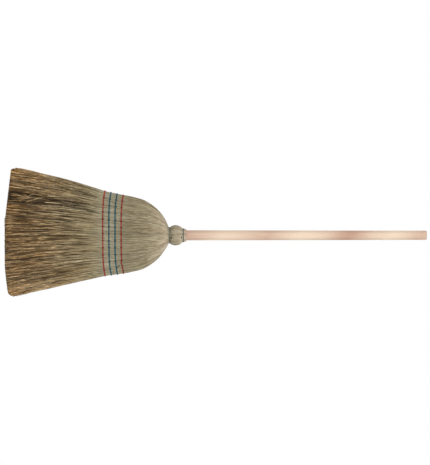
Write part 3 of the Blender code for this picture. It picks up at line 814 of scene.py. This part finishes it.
    def tones(self, around, height, deep, hollow, spread=1.0):
        """The shades attribute: lightness, warmth and darkness of every ring, the darkness being
        painted shade. Lightness is the exponential of the random shares, where those over 0 count
        two fifths, and painted shade in the cracks lowers it. Streaks are a field less the mean
        of its two sides. Darkness is painted shade that grows with the depth under the outline
        and in the worn hollow, where the inner straw is also browner."""
        share = (around % 2) / 2
        loose = self.loose(height)
        low = height / 0.3
        tall = height / 0.6
        uneven = spread * (0.13 + 0.44 * loose) + 0.38 * hollow
        light = 0.85 * self.lightness + 0.95 * self.patch(height) + 0.45 * self.own
        light = light * uneven + 0.10 * drift(TONES, share, tall)
        bent = share + FIELD_BEND * drift(BENDS, share, low)
        fine = drift(STREAKS, bent, tall)
        for beside in (-STREAK_SIDES, STREAK_SIDES):
            fine = fine - 0.5 * drift(STREAKS, bent + beside, tall)
        light = light + (0.32 + 0.66 * loose) * fine
        # Painted shade in the cracks between the loose locks, stronger in the worn hollow
        light = light - (0.80 + 0.60 * hollow) * self.cracks(around, height)
        warm = 0.12 + loose * (0.42 + 0.50 * drift(WARMTHS, share, low))
        warm = np.clip(warm + (0.10 + 0.20 * loose) * self.warmth - 0.55 * light, 0, 1)
        # Painted shade: darker the deeper a ring lies under the outline; in the worn hollow it is
        # partly painted shade and partly the browner inner straw
        painted_shade = 1 - np.exp(-np.clip(deep - 0.0014 - 0.0055 * hollow, 0, None) / 0.0036)
        painted_shade = np.clip(0.97 * painted_shade + 0.19 * hollow, 0, 0.96)
        light = np.exp(np.clip(np.minimum(light, 0.4 * light), -1.5, 0.5))
        return np.stack(np.broadcast_arrays(light, warm, painted_shade), axis=-1)[:, :, None, :]

    def ends(self, x, ragged=0.0007, broken=0.22, reach=0.030):
        """Bottom ends just above the worn edge. Some straws away from both corners are broken
        off higher up, and a few in the middle touch the floor."""
        trim = self.head.edge_height(x) + self.head.sizes.worn_off
        trim = trim + abs(self.dice.normal(0, ragged, self.count))
        longest = self.dice.uniform(0, 1, self.count) < 0.01
        inner = 1 - ease((abs(x) - 0.165) / 0.02)
        short = self.dice.uniform(0, 1, self.count) < broken * inner
        trim = trim + short * self.dice.exponential(reach, self.count)
        return np.where(longest & (abs(x) < 0.05), 0.00015, trim)

    def tucked(self, height):
        """1 at both ends of each straw, and 0 further than 12 mm inside them."""
        ends = np.minimum(height[:, :1] - height, height - height[:, -1:])
        return ease(1 - ends / 0.012)


class BroomSizes(bpy.types.PropertyGroup):
    """Sizes of the broom's finished pieces."""

    def length(label, words, default, low=0.0):
        return FloatProperty(name=label, description=words, default=default, min=low, max=2.0,
                             precision=4, subtype="DISTANCE", unit="LENGTH")

    sweep_width: length("Sweeping width", "Width of the sweeping edge", 0.4121)
    middle_width: length("Middle width", "Width halfway to the rows", 0.335)
    sweep_depth: length("Sweeping depth", "Thickness of the sweeping edge", 0.054)
    worn_off: length("Worn off", "Height of the worn edge over the longest straws", 0.0013)
    left_start: length("Left start", "Where the worn left part of the edge begins", 0.0274)
    left_run: length("Left run", "Length of the worn left part of the edge", 0.142)
    left_rise: length("Left rise", "How far the edge is worn up at the left corner", 0.0165)
    right_start: length("Right start", "Where the worn right part of the edge begins", 0.100)
    right_run: length("Right run", "Length of the worn right part of the edge", 0.098)
    right_rise: length("Right rise", "How far the edge is worn up at the right corner", 0.0113)
    left_reach: length("Left reach", "How far out the left corner lies", 0.1971)
    left_corner: length("Left corner", "Width of the round left corner", 0.0092)
    right_reach: length("Right reach", "How far out the right corner lies", 0.1993)
    right_corner: length("Right corner", "Width of the round right corner", 0.0185)
    corner_height: length("Corner height", "Height of both round corners", 0.016)
    row_height: length("Row height", "Height of the lowest sewn row", 0.3033)
    row_pitch: length("Row pitch", "Distance between two sewn rows", 0.0189)
    row_bow: length("Row bow", "How far the rows rise at both edges", 0.0074)
    twine_diameter: length("Twine diameter", "Thickness of the sewing twine", 0.0021)
    stitch_reach: length("Stitch reach", "Half the length of a stitch", 0.0034)
    wire_diameter: length("Wire diameter", "Thickness of the binding wire", 0.0011)
    wire_pitch: length("Wire pitch", "Distance between two turns of wire", 0.0012)
    nail_shaft: length("Nail shaft", "Thickness of the nails", 0.0018)
    nail_head: length("Nail head", "Width of the nails' heads", 0.0054)
    handle_diameter: length("Handle diameter", "Thickness of the handle at the straw", 0.031)
    top_diameter: length("Top diameter", "Thickness of the handle at its end", 0.0285)
    top_round: length("Top round", "Rounding of the handle's end", 0.0036)
    handle_x: length("Handle place", "Sideways place of the handle's axis", 0.0112, -1.0)
    handle_top: length("Handle top", "Height of the handle's end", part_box("handle")[1].z)
    handle_foot: length("Handle foot", "Height of its hidden point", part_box("handle")[0].z)


class BroomStraw(bpy.types.PropertyGroup):
    """How many straws the head has, and how thick they are."""

    def amount(label, words, default):
        return IntProperty(name=label, description=words, default=default, min=10, max=20000)

    stalks: amount("Stalks", "Stalks round the neck in each of two layers", 90)
    cover: amount("Cover straws", "Outer straws on each side of the head", 1250)
    fringe: amount("Fringe straws", "Outer straws on each side below the rows", 1600)
    filling: amount("Filling straws", "Inner straws on each side below the rows", 3400)
    strays: amount("Stray straws", "Straws on each side that lie across the others", 130)
    half_width: FloatProperty(
        name="Half width", description="Half the width of a fine straw", default=0.00062,
        min=0.0001, max=0.005, precision=5, subtype="DISTANCE", unit="LENGTH")


class BroomColours(bpy.types.PropertyGroup):
    """Colours of the broom and its stage."""

    def colour(label, words, default):
        return FloatVectorProperty(name=label, description=words, default=default, size=3,
                                   min=0.0, max=1.0, subtype="COLOR")

    # Part painted light that lifts the floor's contact shadow, part the paler cut ends
    straw_end_painted_light: colour("Ends", "Straw at its worn end", (0.770, 0.552, 0.310))
    straw_tip: colour("Tips", "Straw near the sweeping edge", (0.460, 0.319, 0.166))
    straw_loose: colour("Loose straw", "Straw below the rows", (0.430, 0.327, 0.188))
    straw_tight: colour("Tight straw", "Straw just below the rows", (0.338, 0.286, 0.169))
    straw_sewn: colour("Sewn straw", "Straw between the rows", (0.372, 0.345, 0.248))
    straw_shoulder: colour("Shoulder", "Straw just over the rows", (0.290, 0.250, 0.155))
    straw_dome: colour("Dome", "Straw over the shoulder", (0.330, 0.285, 0.183))
    straw_neck: colour("Neck", "Straw where it meets the neck", (0.470, 0.400, 0.290))
    # Painted shade on the straw just above the lower wire
    painted_knot_shade: colour("Knot foot", "Straw over the lower wire", (0.275, 0.239, 0.161))
    straw_knot: colour("Knot", "Straw between the two wires", (0.376, 0.325, 0.229))
    straw_pale: colour("Knot top", "Straw under the upper wire", (0.490, 0.430, 0.325))
    straw_collar: colour("Collar", "Straw over the upper wire", (0.560, 0.455, 0.360))
    straw_warm: colour("Warm straw", "Tint of the browner straws", (1.00, 0.79, 0.50))
    # Painted shade deep in the gaps between straws
    painted_gap_shade: colour("Gaps", "Straw deep in the gaps", (0.044, 0.027, 0.012))
    wood_pale: colour("Pale wood", "Palest part of the handle", (0.785, 0.618, 0.468))
    wood_dark: colour("Dark wood", "Darkest part of the handle", (0.474, 0.280, 0.194))
    red: colour("Red twine", "Colour of the red rows", (0.300, 0.039, 0.026))
    teal: colour("Teal twine", "Colour of the teal rows", (0.021, 0.102, 0.120))
    wire: colour("Wire", "Colour of the binding wire", (0.170, 0.175, 0.130))
    nail: colour("Nail", "Colour of the nails", (0.018, 0.015, 0.010))
    floor: colour("Floor", "Colour of the floor", (0.86, 0.86, 0.86))


def settings_of(context):
    """The scene's sizes, straw counts, colours and head."""
    scene = context.scene
    return scene.broom_sizes, scene.broom_straw, scene.broom_colours, Head(scene.broom_sizes)


class BROOM_OT_handle(bpy.types.Operator):
    """Make the turned handle"""

    bl_idname = "broom.make_handle"
    bl_label = "Handle"

    def execute(self, context):
        sizes, _, colours, head = settings_of(context)
        radius = sizes.handle_diameter / 2
        top = sizes.top_diameter / 2
        angles = np.radians(np.linspace(0, 88, 10))
        rounded = sizes.handle_top - sizes.top_round
        heights = np.concatenate([
            [sizes.handle_foot, head.neck_base],
            np.linspace(head.collar_end, rounded, 40)[:-1],
            rounded + sizes.top_round * np.sin(angles),
        ])
        radii = np.concatenate([
            [HANDLE_POINT, radius],
            np.linspace(radius, top, 40)[:-1],
            top - sizes.top_round * (1 - np.cos(angles)),
        ])
        path = np.zeros((len(heights), 3))
        path[:, 0] = sizes.handle_x
        path[:, 2] = heights
        made = add_tube("broom_handle", path, (0.0, -1.0, 0.0), radii, 96,
                        wood_look("pale_wood", colours, sizes))
        made.data.set_sharp_from_angle(angle=math.radians(40))
        finish_piece(made, "handle_wood", "handle")
        return {"FINISHED"}


class BROOM_OT_heart(bpy.types.Operator):
    """Make the dense straw inside the head"""

    bl_idname = "broom.make_heart"
    bl_label = "Inner straw"

    def execute(self, context):
        _, _, colours, head = settings_of(context)
        heights = np.concatenate([
            np.linspace(head.collar_end - 0.0015, head.rows[0], 60),
            np.linspace(head.rows[0], 0.045, 16)[1:],
        ])
        below = ease((head.rows[0] - heights) / 0.12)
        depth = 0.0016 + 0.0185 * below
        around = np.arange(128) / 64 + 0.004
        points, _ = head.place(around[None, :], heights[:, None], depth[:, None])
        # Painted shade on the inner straw, darker where it lies deeper below the rows
        shades = np.stack(np.broadcast_arrays(0.75, 0.3, 0.35 + 0.5 * below), axis=-1)
        made = add_rings("straw_heart", points[None], straw_look("inner_straw", colours, head),
                         shades[None, :, None, :])
        finish_piece(made, "straw", "core_straw_left", "core_straw_right")
        return {"FINISHED"}


class BROOM_OT_stalks(bpy.types.Operator):
    """Make the stalks that run from the collar over the knot and the shoulder"""

    bl_idname = "broom.make_stalks"
    bl_label = "Stalks"

    def execute(self, context):
        _, straw, colours, head = settings_of(context)
        count = straw.stalks
        layers = []
        for layer in range(2):
            stalks = Straws(head, 40 + layer, count, 64, 1)
            dice = stalks.dice
            around = 2 * (np.arange(count)[:, None] + 0.5 * layer) / count
            around = (around + 0.35 * stalks.own / count) % 2
            top = head.collar_end + dice.uniform(-0.0012, 0.0006, count)
            bottom = dice.uniform(0.30, 0.42, count)
            height = stalks.heights(top, bottom, 1.35)
            under = 0.0006 + 0.0007 * layer + dice.uniform(0, 0.0003, (count, 1))
            points, out, around, _, hollow = stalks.path(around, height, under)
            room = 2 * head.girth(height) / count
            ending = ease((height - bottom[:, None]) / 0.05) * 0.8 + 0.2
            own = dice.uniform(0.75, 1.2, (count, 1))
            wide = np.minimum(0.66 * room, 0.0015 * own) * ending
            corners = tube_corners(points, out, wide, np.minimum(wide, 0.0008), 6)
            layers.append((corners, stalks.tones(around, height, 0.0, hollow, 1.3)))
        made = join_rings("straw_stalks", layers, straw_look("stalks", colours, head))
        finish_piece(made, "straw")
        return {"FINISHED"}


def outer_straws(head, straw, name, look, start, seed, count, rings, tops, lift, nodes=()):
    """Outer straws of one side, from their hidden tops to the worn edge. A first run of the
    paths finds where across the head each straw ends, and so how long it is."""
    straws = Straws(head, seed, count, rings, 9)
    dice = straws.dice
    around = straws.spread_out(start, start + 1)
    top = dice.uniform(*tops, count)
    depth = lift + abs(dice.normal(0, 0.0006, (count, 1)))
    first = straws.path(around, straws.heights(top, np.full(count, 0.02)), depth)[0]
    height = straws.heights(top, straws.ends(first[:, -1, 0]), 0.75)
    points, out, around, sunk, hollow = straws.path(around, height, depth)
    own = dice.uniform(0.7, 1.3, (count, 1))
    starting = ease((top[:, None] - height) / 0.04) * 0.85 + 0.15
    wide = straw.half_width * own * (1.15 - 0.35 * straws.loose(height)) * starting
    thick = wide * dice.uniform(0.6, 1.0, (count, 1))
    made = add_rings(name, tube_corners(points, out, wide, thick, 3), look,
                     straws.tones(around, height, sunk, hollow))
    finish_piece(made, "straw", *nodes)


class BROOM_OT_cover(bpy.types.Operator):
    """Make the outer straws of both sides"""

    bl_idname = "broom.make_cover"
    bl_label = "Cover straws"

    def execute(self, context):
        _, straw, colours, head = settings_of(context)
        look = straw_look("cover_straw", colours, head)
        tops = (head.rows[-1] + 0.01, head.neck_base - 0.002)
        low_tops = (head.rows[0] - 0.002, head.rows[-1])
        for side, start, nodes in (("front", 0, FRONT_BUNDLES), ("back", 1, BACK_BUNDLES)):
            outer_straws(head, straw, "straw_cover_" + side, look, start, 50 + start,
                         straw.cover, 22, tops, 0.0006, nodes)
            outer_straws(head, straw, "straw_fringe_" + side, look, start, 60 + start,
                         straw.fringe, 20, low_tops, 0.0009)
        return {"FINISHED"}


class BROOM_OT_filling(bpy.types.Operator):
    """Make the inner straws that fill the loose part of the head"""

    bl_idname = "broom.make_filling"
    bl_label = "Filling straws"

    def execute(self, context):
        _, straw, colours, head = settings_of(context)
        look = straw_look("filling_straw", colours, head)
        for side, name in ((-1, "front"), (1, "back")):
            self.fill_side(head, straw, look, side, "straw_filling_" + name)
        return {"FINISHED"}

    def fill_side(self, head, straw, look, side, name):
        """Straws between the middle plane and the outer straws of one side."""
        count = straw.filling
        straws = Straws(head, 70 + side, count, 9)
        dice = straws.dice
        across = dice.uniform(-0.985, 0.985, (count, 1))
        into = dice.uniform(0.0, 0.84, (count, 1))
        around = head.round_at(across)
        if side > 0:
            around = 2 - around

        def sideways(height):
            """Sideways shifts, places across the head, and X."""
            shift = straws.wander(around, height)
            width = head.part(WIDTH, height)
            share = np.clip(across - side * shift / width, -0.992, 0.992)
            return shift, share, head.part(CENTRE, height) + width * share

        top = np.full(count, head.rows[0] - 0.004)
        first = sideways(straws.heights(top, np.full(count, 0.02)))[2]
        bottom = straws.ends(first[:, -1], 0.0012, 0.3, 0.04)
        height = np.insert(straws.heights(top, bottom), -1, bottom + 0.005, axis=1)
        shift, share, x = sideways(height)
        hollow = straws.part_clefts(around, height, shift, 0.0)[2]
        power = head.part(POWER, height)
        thick = head.part(DEPTH, height) * (1 - abs(share) ** power) ** (1 / power)
        into = into * (1 - 0.34 * hollow)
        y = side * (thick * into + 0.4 * straws.wave * straws.loose(height))
        points = np.stack([x, y, height], axis=-1)
        out = np.broadcast_to([0.0, float(side), 0.0], points.shape)
        wide = straw.half_width * (1 + 0.3 * straws.own) * np.ones_like(height)
        # Painted shade grows with the depth under the outer straws, and is weaker in the last
        # ring at the cut ends
        shades = straws.tones(around, height, np.clip(thick - abs(y), 0, None), 0.0)
        shades[:, -1, :, 2] *= 0.4
        made = add_rings(name, tube_corners(points, out, wide, wide, 3), look, shades)
        finish_piece(made, "straw")


class BROOM_OT_strays(bpy.types.Operator):
    """Make the stray straws that lie across the others"""

    bl_idname = "broom.make_strays"
    bl_label = "Stray straws"

    def execute(self, context):
        _, straw, colours, head = settings_of(context)
        groups = (self.strewn(head, straw), self.placed(head, straw))
        made = join_rings("straw_strays", groups, straw_look("stray_straw", colours, head))
        finish_piece(made, "straw")
        return {"FINISHED"}

    def strewn(self, head, straw):
        """Corners and tones of straws strewn over both sides, some of them steep."""
        count = 2 * straw.strays
        straws = Straws(head, 90, count, 16, 1, 0.075)
        dice = straws.dice
        around = straws.spread_out(0, 2)
        top = dice.uniform(0.05, 0.285, count)
        length = dice.uniform(0.03, 0.13, count)
        bottom = np.clip(top - length, 0.024, None)
        middle = ((top + bottom) / 2)[:, None]
        steep = dice.uniform(0, 1, (count, 1)) < 0.12
        straws.slope = straws.slope * np.where(steep, 3.0, 1.0)
        straws.rank = 0.2 * straws.rank
        first = straws.path(around, straws.heights(top, bottom), 0.0, middle)[0]
        bottom = np.maximum(bottom, head.edge_height(first[:, -1, 0]) + 0.004)
        height = straws.heights(top, bottom)
        depth = 0.0002 + 0.0006 * straws.own + 0.003 * straws.tucked(height)
        depth = depth - 0.0005 * straws.loose(height)
        wide = straw.half_width * dice.uniform(0.6, 1.1, (count, 1)) * np.ones_like(height)
        return self.laid(straws, around, height, depth, middle, wide)

    def placed(self, head, straw):
        """Corners and tones of the pale straws placed one by one. They sink less than half as
        deep into the hollow as the others, and their ends are tucked in."""
        low_x, low, high_x, high = np.array(CROSSING).T
        middle = (low + high) / 2
        low_share = (low_x - head.part(CENTRE, low)) / head.part(WIDTH, low)
        high_share = (high_x - head.part(CENTRE, high)) / head.part(WIDTH, high)
        lean = (low_share - high_share) * head.part(WIDTH, middle) / (high - low)
        straws = Straws(head, 91, len(low), 16, 1)
        straws.slope = lean[:, None]
        straws.lightness = np.full((len(low), 1), 1.8)
        straws.rank = np.zeros((len(low), 1))
        around = head.round_at((low_share + high_share) / 2)[:, None]
        middle = middle[:, None]
        height = straws.heights(high, low)
        sunk = straws.path(around, height, 0.0, middle)[3]
        depth = 0.003 * straws.tucked(height) - 0.0004 - 0.6 * sunk
        wide = np.full(height.shape, 1.4 * straw.half_width)
        return self.laid(straws, around, height, depth, middle, wide)

    def laid(self, straws, around, height, depth, middle, wide):
        """Corners and tones of thin straws that turn about the middle of their length."""
        points, out, _, _, _ = straws.path(around, height, depth, middle)
        return tube_corners(points, out, wide, wide, 4), straws.tones(around, height, 0.0, 0.0)


def row_path(head, row, tail):
    """One row of twine: two laps of a flat spiral round the head, then a stitch through every
    seam, over both laps on the front and slanting back over them behind."""
    sizes = head.sizes
    diameter = sizes.twine_diameter
    rest = -0.15 * diameter
    over = 0.72 * diameter
    reach = sizes.stitch_reach
    seams = np.arange(1, BUNDLES)
    front = head.round_at(2 * seams / BUNDLES - 1)
    behind = 2 - front
    slant = (behind + np.append(behind[1:], behind[-1])) / 2

    def points(around, lift, climb=0.0):
        """Points of the row at some places round the head, lifted off its outline."""
        across = head.across(around, sizes.row_height)
        height = head.row_height(row, across) + climb
        if row == len(ROWS) - 1:
            centre, width, deep = SAG
            height = height - deep * np.exp(-((across - centre) / width) ** 2) * (around % 2 < 1)
        return head.place(around, height, -lift)[0]

    laps = np.linspace(0, 2, 1200)
    wraps = points((behind[0] + 2 * laps) % 2, rest, diameter * (laps - 1) * 0.98)
    high = points(front, rest, reach)
    low = points(front, rest, -reach)
    inside = np.array([1.0, 0.0, 1.0])
    stitches = np.stack([
        points(behind, rest, reach), high * inside, high, points(front, over),
        low, low * inside, points(behind, rest, -reach), points(slant, over),
    ], axis=1).reshape(-1, 3)[:-3]
    if tail:
        end = points(front[-1:], rest + 0.3 * diameter, TAIL_RISE)
        end[:, 0] -= TAIL_RUN
        stitches = np.concatenate([stitches[:-1], end])
    return wraps, stitches


class BROOM_OT_rows(bpy.types.Operator):
    """Make the four sewn rows of twine"""

    bl_idname = "broom.make_rows"
    bl_label = "Sewn rows"

    def execute(self, context):
        sizes, _, colours, head = settings_of(context)
        looks = {"red": twine_look("red_twine", colours.red),
                 "teal": twine_look("teal_twine", colours.teal)}
        turn = np.arange(TWINE_SIDES) / TWINE_SIDES * TURN
        for row, (name, colour) in enumerate(ROWS):
            wraps, stitches = row_path(head, row, name == "inner_teal")
            wraps = evenly(wraps, TWINE_STEP)
            path = np.concatenate([wraps, evenly(stitches, TWINE_STEP)])
            wrapped = np.arange(len(path)) < len(wraps)
            out = np.where(wrapped[:, None], [0.0, 0.0, 1.0], [1.0, 0.0, 0.0])
            travel = np.arange(len(path)) * TWINE_STEP
            plies = np.cos(2 * (turn[None, :] - TURN * travel[:, None] / PLY_LENGTH))
            worn = 1 + 0.55 * drift((41 + row, WEAR_STEPS, 1), travel / travel[-1], 0 * travel)
            # Painted shade: darker between the plies, and darker on the stitches where they pull
            # into the straw
            light = (0.86 + 0.16 * plies) * (worn * np.where(wrapped, 1.03, 0.58))[:, None]
            made = add_tube("twine_row_" + name, path, out, sizes.twine_diameter / 2,
                            TWINE_SIDES, looks[colour], (1 + 0.13 * plies)[..., None],
                            light[..., None])
            finish_piece(made, colour + "_twine", "twine_" + name)
        return {"FINISHED"}


class BROOM_OT_wires(bpy.types.Operator):
    """Make the two binding wires"""

    bl_idname = "broom.make_wires"
    bl_label = "Wires"

    def execute(self, context):
        sizes, _, colours, _ = settings_of(context)
        look = metal_look("binding_wire", colours.wire, 0.55, 0.42)
        half = sizes.wire_diameter / 2
        for name in ("lower_wire", "upper_wire"):
            low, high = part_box(name)
            turns = (high.z - low.z - sizes.wire_diameter) / sizes.wire_pitch
            radius = (high.y - low.y - sizes.wire_diameter) / 2
            turn = np.linspace(0, turns * TURN, 240) + math.radians(60)
            path = np.stack([sizes.handle_x + radius * np.cos(turn), radius * np.sin(turn),
                             np.linspace(low.z + half, high.z - half, 240)], axis=-1)
            made = add_tube("binding_" + name, path, (0.0, 0.0, 1.0), half, 12, look)
            finish_piece(made, "binding_wire", name)
        return {"FINISHED"}


class BROOM_OT_nails(bpy.types.Operator):
    """Make the two nails that hold the wires"""

    bl_idname = "broom.make_nails"
    bl_label = "Nails"

    def execute(self, context):
        sizes, _, colours, _ = settings_of(context)
        look = metal_look("nail_steel", colours.nail, 0.4, 0.5)
        shaft = sizes.nail_shaft / 2
        cap = sizes.nail_head / 2
        angles = np.radians(np.linspace(0, 84, 7))
        for name in ("lower_nail", "upper_nail"):
            points = corners_of(name)
            middle = (points.min(axis=0) + points.max(axis=0)) / 2
            axis = np.linalg.svd(points - points.mean(axis=0))[2][0]
            axis = axis * np.sign(axis @ (middle - [sizes.handle_x, 0, middle[2]]))
            along = (points - middle) @ axis
            foot, top = along.min(), along.max()
            rim = top - NAIL_DOME
            places = np.concatenate([
                [foot, foot + 0.002, rim - NAIL_DISC, rim - 0.9 * NAIL_DISC],
                rim + NAIL_DOME * np.sin(angles),
            ])
            radii = np.concatenate([[0.0002, shaft, shaft, cap], cap * np.cos(angles)])
            made = add_tube("wire_" + name, middle + places[:, None] * axis, (0.0, 0.0, 1.0),
                            radii, 20, look)
            made.data.set_sharp_from_angle(angle=math.radians(50))
            finish_piece(made, "nail_steel", name)
        return {"FINISHED"}


class BROOM_OT_stage(bpy.types.Operator):
    """Make the floor, the lights, the white surroundings and the camera"""

    bl_idname = "broom.make_stage"
    bl_label = "Stage"

    def execute(self, context):
        _, _, colours, _ = settings_of(context)
        scene = context.scene
        scene.view_settings.view_transform = "Standard"
        self.make_world(scene)
        self.make_floor(scene, colours)
        for name, place, size, power in LAMPS:
            lamp = bpy.data.lights.new(name, "AREA")
            lamp.size = size
            lamp.energy = power
            holder = self.place_in(scene, lamp, place)
            tilt = math.atan2(math.hypot(place[0], place[1]), place[2] - LAMP_AIM)
            holder.rotation_euler = (tilt, 0.0, math.atan2(place[0], -place[1]))
        camera = bpy.data.cameras.new("camera")
        camera.type = "ORTHO"
        camera.ortho_scale = VIEW_LENGTH
        camera.clip_end = 20.0
        holder = self.place_in(scene, camera, VIEW_PLACE)
        holder.rotation_euler = (math.radians(90), math.radians(-90), 0.0)
        scene.camera = holder
        return {"FINISHED"}

    def place_in(self, scene, data, place):
        """An object for a lamp or a camera, at its place."""
        holder = bpy.data.objects.new(data.name, data)
        holder.location = place
        scene.collection.objects.link(holder)
        return holder

    def make_world(self, scene):
        """White to the camera and in reflections, and a plain level of light on the broom."""
        world = bpy.data.worlds.new("surroundings")
        scene.world = world
        look = Look(world)
        seen = look.node("ShaderNodeLightPath", output="Is Camera Ray")
        white = seen.largest(seen.output("Is Glossy Ray"))
        white = white.largest(seen.output("Is Transmission Ray"))
        light = look.node("ShaderNodeBackground", inputs={
            "Color": (1.0, 1.0, 1.0), "Strength": WORLD_LEVEL + (1 - WORLD_LEVEL) * white})
        look.node("ShaderNodeOutputWorld", inputs={"Surface": light})

    def make_floor(self, scene, colours):
        """A pale floor that fades into the white surroundings."""
        mesh = bpy.data.meshes.new("floor")
        corners = ((-1, -1), (1, -1), (1, 1), (-1, 1))
        corners = [(x * FLOOR_HALF, y * FLOOR_HALF, 0.0) for x, y in corners]
        mesh.from_pydata(corners, [], [(0, 1, 2, 3)])
        floor = bpy.data.objects.new("floor", mesh)
        scene.collection.objects.link(floor)
        look = new_look("floor")
        away = look.node("ShaderNodeVectorMath", {"operation": "LENGTH"},
                         {0: look.object_place()}, "Value")
        seen = look.node("ShaderNodeLightPath", output="Is Camera Ray")
        pale = look.node("ShaderNodeBsdfDiffuse", inputs={"Color": colours.floor})
        white = look.node("ShaderNodeEmission", inputs={"Strength": 1.0})
        mixed = look.node("ShaderNodeMixShader", inputs={
            0: away.between(*FLOOR_FADE) * seen, 1: pale, 2: white})
        look.node("ShaderNodeOutputMaterial", inputs={"Surface": mixed})
        mesh.materials.append(look.owner)


class BROOM_PT_pieces(bpy.types.Panel):
    """The broom's pieces, sizes and colours"""

    bl_idname = "BROOM_PT_pieces"
    bl_label = "Straw broom"
    bl_space_type = "VIEW_3D"
    bl_region_type = "UI"
    bl_category = "Broom"

    def draw(self, context):
        layout = self.layout
        for operator in PIECES:
            layout.operator(operator.bl_idname)
        for group in ("broom_sizes", "broom_straw", "broom_colours"):
            settings = getattr(context.scene, group)
            box = layout.box()
            for name in settings.__annotations__:
                box.prop(settings, name)


PIECES = (
    BROOM_OT_handle,
    BROOM_OT_heart,
    BROOM_OT_stalks,
    BROOM_OT_cover,
    BROOM_OT_filling,
    BROOM_OT_strays,
    BROOM_OT_rows,
    BROOM_OT_wires,
    BROOM_OT_nails,
    BROOM_OT_stage,
)
CLASSES = (BroomSizes, BroomStraw, BroomColours, *PIECES, BROOM_PT_pieces)


def register():
    """Register the classes and hang the settings on the scene."""
    for item in CLASSES:
        bpy.utils.register_class(item)
    bpy.types.Scene.broom_sizes = PointerProperty(type=BroomSizes)
    bpy.types.Scene.broom_straw = PointerProperty(type=BroomStraw)
    bpy.types.Scene.broom_colours = PointerProperty(type=BroomColours)


def unregister():
    """Take the settings off the scene and unregister the classes."""
    del bpy.types.Scene.broom_sizes
    del bpy.types.Scene.broom_straw
    del bpy.types.Scene.broom_colours
    for item in reversed(CLASSES):
        bpy.utils.unregister_class(item)


def main():
    """Make every piece in order."""
    register()
    bpy.ops.broom.make_handle()
    bpy.ops.broom.make_heart()
    bpy.ops.broom.make_stalks()
    bpy.ops.broom.make_cover()
    bpy.ops.broom.make_filling()
    bpy.ops.broom.make_strays()
    bpy.ops.broom.make_rows()
    bpy.ops.broom.make_wires()
    bpy.ops.broom.make_nails()
    bpy.ops.broom.make_stage()


if __name__ == "__main__":
    main()
